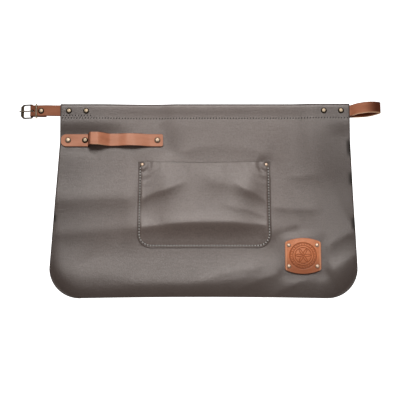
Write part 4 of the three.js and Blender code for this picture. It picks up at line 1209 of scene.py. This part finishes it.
class APRON_OT_pocket(bpy.types.Operator):
    """Make the bellied pocket"""

    bl_idname = "apron.pocket"
    bl_label = "Pocket"

    def execute(self, context):
        settings = context.scene.apron_leather
        middle = pocket_middle(settings.thickness)
        sides = thickened(middle, settings.thickness)
        # Dark cut edge of the pocket, partly painted shade
        tones = {"crest": crest_tone(middle), "edge": border_tone(middle.shape, 1.0)}
        piece = add_wall("pocket_leather", sides, THIN_ROUND, bpy.data.materials["apron_hide"], tones)
        settle(piece, "apron", "apron_leather", "pocket")
        return {"FINISHED"}


# Straps

def strap_grid(line, centre_y, width, cut):
    """A strap's resampled side line in X and Z, and its grid: the line carried across the width, which falls
    along circles to both ends."""
    line = resampled(line, cut.rows, cut.gather)
    travel = travel_along(line)

    def rounded(distance, radius):
        depth = np.clip(radius - distance, 0.0, radius)
        return width / 2.0 - radius + np.sqrt(np.maximum(radius ** 2 - depth ** 2, 0.0))

    half = np.minimum(rounded(travel, cut.start_round), rounded(travel[-1] - travel, cut.end_round))
    across = np.linspace(1.0, -1.0, cut.columns)
    return line, points_of(line[:, :1], centre_y + half[:, None] * across, line[:, 1:])


def front_edge(middle):
    """1 along the strap's lower edge, fading across it within a few millimetres."""
    return fade(middle[..., 1] - middle[..., 1].min(axis=1, keepdims=True), *FRONT_EDGE)


def add_strap(node, middle, thickness, material, darkening_and_painted_shade, shown=None, raw=0.0):
    """A strap's wall with a dark burnished tone along its edges, raw leather there where asked, and a darker
    tone along its length, which also carries painted shade."""
    raw = np.broadcast_to(raw, middle.shape[:2])
    tones = {
        "edge": border_tone(middle.shape, BURNISH_STEPS) * (1.0 - raw),
        "darkening_and_painted_shade": np.broadcast_to(darkening_and_painted_shade[:, None], middle.shape[:2]),
        "raw": raw,
    }
    piece = add_wall(f"{node}_leather", thickened(middle, thickness), THICK_ROUND, material, tones, shown)
    settle(piece, "apron", "strap_leather", node)


def towel_line(thickness, leather):
    """Side line of the towel strap: flat at both riveted ends, two humps between them."""
    low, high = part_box("towel_strap")
    rest = SEAT_Z + leather + GAP + thickness / 2.0
    stops = (low.x, TOWEL_X[0], TOWEL_X[2], TOWEL_X[-1], high.x)
    runs = [np.linspace(*run, endpoint=False) for run in zip(stops, stops[1:], TOWEL_STEPS)]
    x = np.concatenate((*runs, stops[-1:]))
    return points_of(x, rest + eased(x, TOWEL_X, TOWEL_RISE))


class APRON_OT_towel_strap(bpy.types.Operator):
    """Make the humped towel strap"""

    bl_idname = "apron.towel_strap"
    bl_label = "Towel strap"

    def execute(self, context):
        settings = context.scene.apron_straps
        line = towel_line(settings.thickness, context.scene.apron_leather.thickness)
        line, middle = strap_grid(line, TOWEL_Y, settings.towel_width, TOWEL_CUT)
        lifted = eased(line[:, :1], TOWEL_LIFT_X, TOWEL_LIFT)
        middle[..., 2] += lifted * (middle[:, :1, 1] - middle[..., 1])
        x = line[:, 0]
        foot, top, crest, end = TOWEL_X[:4]
        # Painted shade on the steep riser, and a darker tone at the left end
        riser = plateau(x, foot - RISER_BEFORE, foot + RISER_PAST, top - RISER_BEFORE, top + RISER_PAST)
        darkening_and_painted_shade = TOWEL_END_DARKENING * (x < foot) + RISER_PAINTED_SHADE * riser
        raw = RAW_TONE * front_edge(middle) * plateau(x, top, crest, crest, end)[:, None]
        material = strap_leather("strap_hide", settings, settings.shine)
        add_strap("towel_strap", middle, settings.thickness, material, darkening_and_painted_shade, raw=raw)
        return {"FINISHED"}


def buckle_strap_line(thickness, in_hem):
    """Side line of the buckle strap: out of the hem, over the heel bar in a half circle and back under
    itself."""
    half = thickness / 2.0
    low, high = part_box("buckle_strap")
    lower = WIRE_HEIGHT + GAP + half
    upper = lower + thickness + GAP
    radius = BAR[0] - half - low.x
    bar_x, bar_z = BAR[0], BAR[2]
    open_x, tail_x = DOUBLED_X
    return np.concatenate((
        ((high.x, in_hem),),
        step_line((HEM_STEP_X, in_hem), (DOUBLED_STEP_X, upper), LONG_STEP),
        step_line((open_x, upper), (bar_x, bar_z + radius), SHORT_STEP),
        arc_line((bar_x, bar_z), radius, math.pi / 2.0, 1.5 * math.pi, STRAP_TURN_STEPS)[1:-1],
        step_line((bar_x, bar_z - radius), (open_x, lower), SHORT_STEP),
        ((tail_x, lower),),
    ))


def outside_slot(line, middle):
    """True on the strap's quads outside the prong's slot, which lies in the strap's turn about the bar."""
    reach = np.where(line[:, 1] > BAR[2], SLOT_ABOVE, SLOT_BELOW)
    in_turn = line[:, 0] < BAR[0] + reach
    y = (middle[:-1, :-1, 1] + middle[1:, 1:, 1]) / 2.0
    return ~((in_turn[:-1] & in_turn[1:])[:, None] & (np.abs(y - BAR[1]) < SLOT_HALF))


def waist_strap_line(thickness, in_hem):
    """Side line of the waist strap: out of the hem, over in a slack loop and back under the hem."""
    tip = (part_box("waist_strap")[0].x, thickness / 2.0)
    start = (HEM_RIGHT - WAIST_IN_HEM, in_hem)
    return np.concatenate(((start,), smooth_path(WAIST_LOOP, WAIST_LOOP_STEPS), (tip,)))


def at_corners(quads):
    """True at the points of a grid that are a corner of a marked quad."""
    padded = np.pad(quads, 1)
    return padded[:-1, :-1] | padded[1:, :-1] | padded[:-1, 1:] | padded[1:, 1:]


def punch_holes(middle, tip_x):
    """Round holes along a strap from its tip: quads whose middle lies in a hole are left out, and the points
    round them are moved along the radius on to its circle."""
    shown = np.ones((middle.shape[0] - 1, middle.shape[1] - 1), bool)
    for k in range(PUNCH_COUNT):
        centre = np.array((tip_x + PUNCH_FIRST + k * PUNCH_PITCH, STRAP_Y))
        out = middle[..., :2] - centre
        in_hole = np.linalg.norm((out[:-1, :-1] + out[1:, 1:]) / 2.0, axis=-1) < PUNCH_RADIUS
        rim = at_corners(in_hole) & at_corners(~in_hole)
        out[rim] = PUNCH_RADIUS * unit(out[rim])
        middle[..., :2] = centre + out
        shown &= ~in_hole
    return shown


class APRON_OT_waist_straps(bpy.types.Operator):
    """Make the buckle strap and the folded-back waist strap"""

    bl_idname = "apron.waist_straps"
    bl_label = "Waist straps"

    def execute(self, context):
        settings = context.scene.apron_straps
        thickness = settings.thickness
        material = strap_leather("waist_strap_hide", settings, settings.waist_shine)
        in_left, in_right = HEM_BASE[[0, -1]] + context.scene.apron_leather.thickness + GAP + thickness / 2.0
        line = buckle_strap_line(thickness, in_left)
        line, middle = strap_grid(line, STRAP_Y, settings.width, BUCKLE_STRAP_CUT)
        travel = travel_along(line)
        turned = smoothstep(travel / travel[-1], *LAYER_TURN)
        middle[..., 1] += (LAYER_SHIFT * (1.0 - 2.0 * turned) * (line[:, 0] < HEM_LEFT))[:, None]
        # Darker tone, with painted shade where the strap turns at the bar
        darkening_and_painted_shade = BUCKLE_DARKENING + BAR_PAINTED_SHADE * fade(line[:, 0], BAR[0], BAR[0] + BAR_PAINTED_SHADE_REACH)
        add_strap("buckle_strap", middle, thickness, material, darkening_and_painted_shade, outside_slot(line, middle))
        line = waist_strap_line(thickness, in_right)
        line, middle = strap_grid(line, STRAP_Y, settings.width, WAIST_STRAP_CUT)
        shown = punch_holes(middle, line[-1, 0])
        middle[..., 1] += WAIST_LEAN * (middle[..., 2] - in_right)
        # Painted shade, darkest at the loop's turn and on the run below it
        under = np.arange(len(line)) > np.argmax(line[:, 0])
        darker = np.maximum(under, smoothstep(line[:, 0], *WAIST_PAINTED_SHADE_X))
        darkening_and_painted_shade = lerp(WAIST_DARKENING, WAIST_TURN_PAINTED_SHADE, darker)
        raw = RAW_TONE * front_edge(middle) * smoothstep(line[:, :1], *WAIST_RAW_X)
        add_strap("waist_strap", middle, thickness, material, darkening_and_painted_shade, shown, raw)
        return {"FINISHED"}


# Patch

def patch_relief(x, y, ring):
    """Pressed lines as a share from 0 to 1, each a bell across its line: two rings, a ring of beads, and a
    rosette of arcs about points on a third ring."""
    radius = np.hypot(x, y)

    def pressed(distance, width):
        return np.exp(-(distance / width) ** 2)

    rings = pressed(radius - ring, 2.0 * LINE_WIDTH) + pressed(radius - INNER_RING * ring, LINE_WIDTH)
    pitch = 2.0 * math.pi / BEAD_COUNT
    swing = (np.arctan2(y, x) / pitch) % 1.0 - 0.5
    beads = pressed(np.hypot(swing * pitch * radius, radius - BEAD_RING * ring), BEAD_SIZE)
    petal = PETAL_RING * ring
    turn = full_turn(PETAL_COUNT)
    far = np.hypot(x[..., None] - petal * np.cos(turn), y[..., None] - petal * np.sin(turn))
    arcs = pressed(far - petal, LINE_WIDTH).max(axis=-1) * (radius < petal)
    return np.clip(rings + beads + arcs + pressed(radius - petal, LINE_WIDTH), 0.0, 1.0)


class APRON_OT_patch(bpy.types.Operator):
    """Make the riveted patch"""

    bl_idname = "apron.patch"
    bl_label = "Patch"

    def execute(self, context):
        settings = context.scene.apron_patch
        u = np.linspace(-1.0, 1.0, PATCH_ROWS)[None, :]
        v = np.linspace(1.0, -1.0, PATCH_ROWS)[:, None]
        x = settings.width / 2.0 * u * (1.0 - PATCH_CORNER * np.abs(v) ** PATCH_CORNER_POWER)
        edge_y = settings.side / 2.0 + settings.bow * (1.0 - u ** 2)
        y = edge_y * v * (1.0 - PATCH_CORNER * np.abs(u) ** PATCH_CORNER_POWER)
        pressed = patch_relief(x, y, settings.ring)
        crown = settings.crown * (1.0 - v ** 2) ** CROWN_POWER * (1.0 - u ** 2) ** CROWN_POWER
        bottom = SEAT_Z + context.scene.apron_leather.thickness + PATCH_LIFT + GAP
        centre = np.array((*PATCH_CENTRE, bottom))
        front = points_of(x, y, settings.thickness + crown - settings.relief * pressed) + centre
        back = points_of(x, y, crown) + centre
        burnish = border_tone(x.shape, PATCH_BURNISH) ** 2
        # Painted highlight on the rims by the sides, and painted shade down the patch in the edge tone
        rim = PATCH_PAINTED_HIGHLIGHT * np.exp(-((np.abs(u) - PATCH_PAINTED_HIGHLIGHT_AT) / PATCH_PAINTED_HIGHLIGHT_WIDTH) ** 2)
        tones = {
            "pressed": pressed,
            "edge": np.maximum(burnish, PATCH_PAINTED_SHADE * smoothstep(-v, *PATCH_PAINTED_SHADE_DOWN)),
            "rim": np.broadcast_to(rim, x.shape),
        }
        piece = add_wall("patch_plate", (front, back), THICK_ROUND, patch_leather(settings), tones)
        settle(piece, "apron", "patch_leather", "patch")
        return {"FINISHED"}


# Metal

def add_metal(name, body, node, rings, closed, material, patina, bare=0.0):
    """A brass piece of rings of points with its patina, a number or one for each point, and its bare copper,
    from rubbed metal and, on the patch's rivets, from a painted reflection.
    """
    points, faces = tube_arrays(rings, closed)
    tones = {"patina": np.broadcast_to(patina, len(points)), "bare": np.broadcast_to(bare, len(points))}
    settle(add_piece(name, points, faces, material, tones), body, "aged_brass", node)


def rivet_rings(x, y, cap, dome, low, high, back):
    """Turned profile of a rivet: flat back cap, shank, and a cap that is level in its middle and falls by
    the fourth power of the radius to a rounded rim. Its patina, partly a painted dark reflection of the
    steep rim, sets in towards the rim."""
    shank = SHANK * cap
    radius = np.concatenate(((0.5 * back, back, back, shank, shank, CAP_FOOT * cap), cap * CAP_RINGS))
    bottom = low - BACK_CAP_HEIGHT
    cap_z = high + dome * (1.0 - CAP_FALL * CAP_RINGS ** 4)
    z = np.concatenate(((bottom, bottom, low, low, high, high), cap_z))[:, None]
    angle = -full_turn(RIVET_SIDES)
    rings = points_of(x + radius[:, None] * np.cos(angle), y + radius[:, None] * np.sin(angle), z)
    patina = np.ones(len(radius))
    patina[-len(CAP_RINGS):] = smoothstep(CAP_RINGS, *CAP_PATINA_AND_PAINTED_REFLECTION)
    return rings, np.concatenate((np.repeat(patina, RIVET_SIDES), patina[[0, -1]]))


class APRON_OT_rivets(bpy.types.Operator):
    """Make the domed rivets"""

    bl_idname = "apron.rivets"
    bl_label = "Rivets"

    def execute(self, context):
        settings = context.scene.apron_metal
        material = aged_brass(settings)
        caps = BySize(settings.large_cap, settings.small_cap)
        for node in sorted(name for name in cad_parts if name.startswith("rivet_")):
            group = next(group for group in RIVET_GROUPS if group.name in node)
            cap, dome, back = (getattr(sizes, group.size) for sizes in (caps, RIVET_DOME, RIVET_BACK))
            low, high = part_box(node)
            x, y = (low.x + high.x) / 2.0, (low.y + high.y) / 2.0
            rings, patina = rivet_rings(x, y, cap, dome, low.z + BACK_CAP_HEIGHT, high.z - dome, back)
            name = node.replace("rivet_", "rivet_cap_")
            add_metal(name, "apron", node, rings, False, material, group.patina * patina, group.bare)
        return {"FINISHED"}


def tilted(points):
    """Points about the heel bar turned with the lying frame and put in place."""
    cos, sin = math.cos(-FRAME_TILT), math.sin(-FRAME_TILT)
    x, y, z = np.moveaxis(points, -1, 0)
    return points_of(x * cos + z * sin, y, z * cos - x * sin) + np.array(BAR)


def cut_loop(back, front, half_y, cut):
    """A four-sided outline whose corners are cut: a quadratic curve from side to side at each corner, bowed
    out from the straight cut by a share, and evenly stepped sides between the corners."""
    corners = np.array(((back, half_y), (front, half_y), (front, -half_y), (back, -half_y)))
    lengths = np.array((cut.back, cut.front, cut.front, cut.back))[:, None]
    enter = corners + lengths * unit(np.roll(corners, 1, axis=0) - corners)
    leave = corners + lengths * unit(np.roll(corners, -1, axis=0) - corners)
    control = lerp((enter + leave) / 2.0, corners, cut.bow)
    t = np.linspace(0.0, 1.0, CORNER_STEPS)[None, :, None]
    p, q, r = enter[:, None], control[:, None], leave[:, None]
    curves = p * (1.0 - t) ** 2 + 2.0 * q * t * (1.0 - t) + r * t ** 2
    side = np.linspace(0.0, 1.0, SIDE_STEPS)[None, 1:-1, None]
    runs = lerp(r, np.roll(p, -1, axis=0), side)
    return np.concatenate((curves, runs), axis=1).reshape(-1, 2)


def buckle_frame_rings():
    """Rounded section, a circle's cosine and sine raised to a power, carried round the frame between an
    outer and an inner outline: broad at the front, slim in the arms, round at the heel. Its patina is
    full below."""
    outer = cut_loop(BAR_RADIUS + HEEL_EASE, -FRAME_REACH, FRAME_HALF_Y, OUTER_CORNERS)
    inner = cut_loop(-BAR_RADIUS, FRAME_FRONT - FRAME_REACH, FRAME_HALF_Y - FRAME_ARM, INNER_CORNERS)
    middle, half = (outer + inner) / 2.0, (outer - inner) / 2.0
    heel = smoothstep(middle[:, :1], -FRAME_HEEL, 0.0)
    angle = full_turn(FRAME_SIDES)
    square = lerp(FRAME_SQUARE, 1.0, heel)
    side = np.sign(np.cos(angle)) * np.abs(np.cos(angle)) ** square
    up = np.sign(np.sin(angle)) * np.abs(np.sin(angle)) ** square
    plan = middle[:, None] + half[:, None] * side[..., None]
    rings = points_of(plan[..., 0], plan[..., 1], lerp(FRAME_HALF_Z, BAR_RADIUS, heel) * up)
    return rings, lerp(FRAME_PATINA, 1.0, np.clip(1.0 - up, 0.0, 1.0)).ravel()


def prong_rings():
    """Flattened round section carried from the prong's blunt tip, over the front bar, round the heel bar."""
    fit = PRONG_EASE + PRONG_HALF_Z
    curl, over = BAR_RADIUS + fit, FRAME_HALF_Z + fit
    line = resampled(np.concatenate((
        ((-FRAME_REACH - PRONG_PAST, over - PRONG_DROOP), (-FRAME_REACH + PRONG_LEVEL, over)),
        step_line((-FRAME_REACH + FRAME_FRONT, over), (0.0, curl), SHORT_STEP),
        arc_line((0.0, 0.0), curl, math.pi / 2.0, PRONG_CURL_END, PRONG_TURN_STEPS)[1:],
    )), PRONG_ROWS, PRONG_GATHER)
    along = unit(np.gradient(line, axis=0))
    travel = travel_along(line)[:, None]
    tip = np.sqrt(np.clip(travel / PRONG_TIP, PRONG_BLUNT, 1.0))
    taper = tip * lerp(PRONG_SLIM, 1.0, smoothstep(travel, 0.0, PRONG_SLIM_REACH))
    angle = full_turn(WIRE_SIDES)
    across = PRONG_HALF_Y * taper * np.cos(angle)
    up = PRONG_HALF_Z * np.minimum(1.0, taper + PRONG_FLAT) * tip * np.sin(angle)
    return points_of(line[:, :1] - along[:, 1:] * up, -across, line[:, 1:] + along[:, :1] * up)


def rounded_loop(half_x, half_y, radius, step):
    """Outline of a rectangle with round corners, as points no further apart than a step and their outward
    normals, mixed along the straight sides from those of the corners."""
    quarter = np.linspace(0.0, math.pi / 2.0, KEEPER_TURN_STEPS)
    angle = quarter + np.arange(4)[:, None] * math.pi / 2.0
    normals = points_of(np.cos(angle), np.sin(angle))
    signs = np.array(((1, 1), (-1, 1), (-1, -1), (1, -1)))
    centres = signs * (half_x - radius, half_y - radius)
    loop = np.concatenate((centres[:, None] + radius * normals, normals), axis=-1).reshape(-1, 4)
    loop = np.concatenate((loop, loop[:1]))
    travel = travel_along(loop[:, :2])
    wanted = np.union1d(travel, np.arange(0.0, travel[-1], step))[:-1]
    wanted = wanted[np.concatenate(((True,), np.diff(wanted) > SAME_PLACE))]
    filled = at_travel(loop, travel, wanted)
    return filled[:, :2], unit(filled[:, 2:])


def keeper_rings(wire):
    """Flattened wire carried round a tall rounded loop in the plane across the strap."""
    low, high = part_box("strap_keeper")
    centre = (low + high) / 2.0
    half_y = (high.y - low.y) / 2.0 - wire
    half_z = (high.z - low.z) / 2.0 - wire
    place, facing = rounded_loop(half_y, half_z, KEEPER_ROUND, KEEPER_STEP)
    angle = full_turn(WIRE_SIDES)
    out = wire * np.cos(angle)
    return points_of(
        centre.x + KEEPER_FLAT * wire * np.sin(angle),
        centre.y + place[:, :1] + facing[:, :1] * out,
        centre.z + place[:, 1:] + facing[:, 1:] * out,
    )


class APRON_OT_buckle(bpy.types.Operator):
    """Make the buckle frame, its prong and the strap keeper"""

    bl_idname = "apron.buckle"
    bl_label = "Buckle"

    def execute(self, context):
        brass = bpy.data.materials["worn_brass"]
        rings, patina = buckle_frame_rings()
        add_metal("buckle_frame_brass", "buckle", "buckle_frame", tilted(rings), True, brass, patina)
        rings = tilted(prong_rings())
        add_metal("buckle_prong_brass", "prong", "buckle_prong", rings, False, brass, PRONG_PATINA)
        rings = keeper_rings(context.scene.apron_metal.wire)
        add_metal("strap_keeper_brass", "keeper", "strap_keeper", rings, True, brass, KEEPER_PATINA)
        return {"FINISHED"}


# Stitching

def stitch_arrays(place, along, up, length, radius):
    """One rounded thread per place: rings along the local axes whose girth falls by the sixth power of the
    way to both ends, all in one mesh."""
    t = np.linspace(-STITCH_END, STITCH_END, STITCH_BANDS)[:, None]
    angle = full_turn(STITCH_SIDES)
    girth = radius * np.sqrt(1.0 - t ** 6)
    rings = points_of(t * length / 2.0, girth * np.cos(angle), girth * np.sin(angle))
    ends = ((-length / 2.0, 0.0, 0.0), (length / 2.0, 0.0, 0.0))
    local = np.concatenate((rings.reshape(-1, 3), ends))
    axes = np.stack((along, np.cross(along, up), up), axis=1)
    points = place[:, None] + local @ axes
    shift = (np.arange(len(place)) * len(local))[:, None, None]
    faces = [
        (part + shift).reshape(-1, part.shape[1]) for part in tube_faces(STITCH_BANDS, STITCH_SIDES, False)]
    return points.reshape(-1, 3), faces


def surface_frame(x, y, height):
    """Point and upward normal of a height function, from its slopes over a short step."""
    slope_x = (height(x + SLOPE_STEP, y) - height(x - SLOPE_STEP, y)) / (2.0 * SLOPE_STEP)
    slope_y = (height(x, y + SLOPE_STEP) - height(x, y - SLOPE_STEP)) / (2.0 * SLOPE_STEP)
    return points_of(x, y, height(x, y)), unit(points_of(-slope_x, -slope_y, 1.0))


def seam_on(line, height, pitch, length, radius, slant=0.0, start=0.5):
    """Stitches at even steps along a plan line from a start share of a step, laid on a height function and
    turned by a slant."""
    travel = travel_along(line)
    count = max(2, int(travel[-1] / pitch))
    wanted = (np.arange(count) + start) * travel[-1] / count
    x, y = at_travel(line, travel, wanted).T
    place, up = surface_frame(x, y, height)
    before, after = (at_travel(line, travel, wanted + ahead) for ahead in (-length / 2.0, length / 2.0))
    course_x, course_y = (after - before).T
    cos, sin = math.cos(slant), math.sin(slant)
    along = points_of(course_x * cos - course_y * sin, course_x * sin + course_y * cos, 0.0)
    along = unit(along - up * np.sum(along * up, axis=1, keepdims=True))
    return stitch_arrays(place, along, up, length, radius)


def joined(*parts):
    """Several sets of points and faces as one."""
    starts = np.cumsum([0] + [len(points) for points, _ in parts])
    faces = [start + face for start, (_, faces) in zip(starts, parts) for face in faces]
    return np.concatenate([points for points, _ in parts]), faces


def pocket_seam_line(inset):
    """Plan line of the pocket's seam, inset from its sides, round corners and bottom edge."""
    corner_top = POCKET_BOTTOM + POCKET_CORNER
    start = POCKET_TOP - POCKET_SEAM_DROP
    upper = (POCKET_X - pocket_half(start) + inset, start)
    turn = np.linspace(0.0, math.pi / 2.0, SEAM_TURN_STEPS)
    centre_x = POCKET_X - pocket_half(corner_top) + POCKET_CORNER
    radius = POCKET_CORNER - inset
    corner = points_of(centre_x - radius * np.cos(turn), corner_top - radius * np.sin(turn))
    left = np.concatenate(((upper,), corner))
    right = left[::-1] * (-1.0, 1.0) + (2.0 * POCKET_X, 0.0)
    return np.concatenate((left, right))


class APRON_OT_stitching(bpy.types.Operator):
    """Make the seams of the hem and the pocket"""

    bl_idname = "apron.stitching"
    bl_label = "Stitching"

    def execute(self, context):
        settings = context.scene.apron_thread
        leather = context.scene.apron_leather.thickness

        def on_hem(x, y):
            return hem_front_underside(x, leather) + leather

        def on_pocket(x, y):
            return pocket_underside(x, y, leather) + leather

        dark = thread("dark_thread", settings.dark)
        pale = thread("pale_thread", settings.pale)
        hem = points_of((HEM_LEFT + HEM_SEAM_INSET, HEM_RIGHT - HEM_SEAM_INSET), HEM_STITCH_Y)
        tack = points_of((HEM_LEFT + TACK_INSET, TACK_END_X), HEM_STITCH_Y + TACK_RISE)
        stitch = (settings.pitch, settings.hem_length, HEM_THREAD * settings.radius)
        rows = joined(
            seam_on(hem, on_hem, *stitch, slant=HEM_SLANT), seam_on(tack, on_hem, *stitch, slant=-HEM_SLANT))
        settle(add_piece("hem_seam_thread", *rows, dark), "apron", "apron_leather")
        line = pocket_seam_line(POCKET_SEAM_INSET)
        row = seam_on(line, on_pocket, settings.pitch, settings.length, settings.radius)
        settle(add_piece("pocket_seam_thread", *row, pale), "apron", "apron_leather")
        # Dark thread between the pale stitches, as painted shade in the stitch holes
        hole = settings.pitch - settings.length
        row = seam_on(line, on_pocket, settings.pitch, hole, settings.radius, start=0.0)
        settle(add_piece("pocket_seam_hole_shade", *row, dark), "apron", "apron_leather")
        return {"FINISHED"}


# Stage

def add_light(name, place, size, power):
    """A rectangular area light that faces the middle of the apron."""
    light = bpy.data.lights.new(name, "AREA")
    light.shape = "RECTANGLE"
    light.size, light.size_y = size
    light.energy = power
    lamp = bpy.data.objects.new(name, light)
    lamp.location = place
    direction = -unit(np.array(place))
    lamp.rotation_euler = (math.acos(-direction[2]), 0.0, math.atan2(direction[0], -direction[1]) + math.pi)
    bpy.context.scene.collection.objects.link(lamp)
    return lamp


def add_camera(settings):
    """A camera that leans over the middle of the apron and takes in the frame's width there."""
    camera = bpy.data.cameras.new("camera")
    camera.lens = camera.sensor_width * settings.camera_distance / settings.frame_width
    viewer = bpy.data.objects.new("camera", camera)
    tilt = settings.camera_tilt
    viewer.location = settings.camera_distance * np.array((0.0, -math.sin(tilt), math.cos(tilt)))
    viewer.rotation_euler = (tilt, 0.0, 0.0)
    bpy.context.scene.collection.objects.link(viewer)
    bpy.context.scene.camera = viewer


class APRON_OT_stage(bpy.types.Operator):
    """Make the floor, the lights and the camera"""

    bl_idname = "apron.stage"
    bl_label = "Stage"

    def execute(self, context):
        settings = context.scene.apron_stage
        half = settings.floor_size / 2.0
        corners = np.array(((-half, -half), (half, -half), (half, half), (-half, half)))
        points = points_of(corners[:, 0], corners[:, 1], CAD_BOX[0].z - FLOOR_GAP)
        add_piece("floor", points, [np.arange(4)[None, :]], pale_floor(settings))
        world = bpy.data.worlds.new("white_surroundings")
        world.use_nodes = True
        background = world.node_tree.nodes["Background"]
        background.inputs["Color"].default_value = (*WHITE, 1.0)
        background.inputs["Strength"].default_value = settings.ambient
        context.scene.world = world
        add_light("key_light", KEY_PLACE, KEY_SIZE, settings.key_power)
        fill = add_light("fill_light", FILL_PLACE, FILL_SIZE, settings.fill_power)
        fill.visible_glossy = False
        add_camera(settings)
        context.scene.view_settings.view_transform = "Standard"
        return {"FINISHED"}


class VIEW3D_PT_apron(bpy.types.Panel):
    """Sidebar panel that lists the apron's operators and settings"""

    bl_label = "Leather Waist Apron"
    bl_space_type = "VIEW_3D"
    bl_region_type = "UI"
    bl_category = "Apron"

    def draw(self, context):
        for operator in OPERATORS:
            self.layout.operator(operator.bl_idname)
        for name, group in SETTINGS.items():
            box = self.layout.box()
            box.label(text=group.__doc__)
            for setting in group.__annotations__:
                box.prop(getattr(context.scene, name), setting)


SETTINGS = {
    "apron_leather": ApronLeatherSettings,
    "apron_straps": StrapLeatherSettings,
    "apron_patch": PatchSettings,
    "apron_metal": MetalSettings,
    "apron_thread": ThreadSettings,
    "apron_stage": StageSettings,
}
OPERATORS = (
    APRON_OT_panel,
    APRON_OT_pocket,
    APRON_OT_towel_strap,
    APRON_OT_waist_straps,
    APRON_OT_patch,
    APRON_OT_rivets,
    APRON_OT_buckle,
    APRON_OT_stitching,
    APRON_OT_stage,
)


def register():
    """Registers the settings, which each scene then holds, the operators and the sidebar panel."""
    for name, group in SETTINGS.items():
        bpy.utils.register_class(group)
        setattr(bpy.types.Scene, name, bpy.props.PointerProperty(type=group))
    for operator in OPERATORS:
        bpy.utils.register_class(operator)
    bpy.utils.register_class(VIEW3D_PT_apron)


def unregister():
    """Takes back what register did, in the opposite order."""
    bpy.utils.unregister_class(VIEW3D_PT_apron)
    for operator in reversed(OPERATORS):
        bpy.utils.unregister_class(operator)
    for name, group in reversed(SETTINGS.items()):
        delattr(bpy.types.Scene, name)
        bpy.utils.unregister_class(group)


def main():
    """Registers the add-on and makes every piece and the stage."""
    register()
    bpy.ops.apron.panel()
    bpy.ops.apron.pocket()
    bpy.ops.apron.towel_strap()
    bpy.ops.apron.waist_straps()
    bpy.ops.apron.patch()
    bpy.ops.apron.rivets()
    bpy.ops.apron.buckle()
    bpy.ops.apron.stitching()
    bpy.ops.apron.stage()


if __name__ == "__main__":
    main()
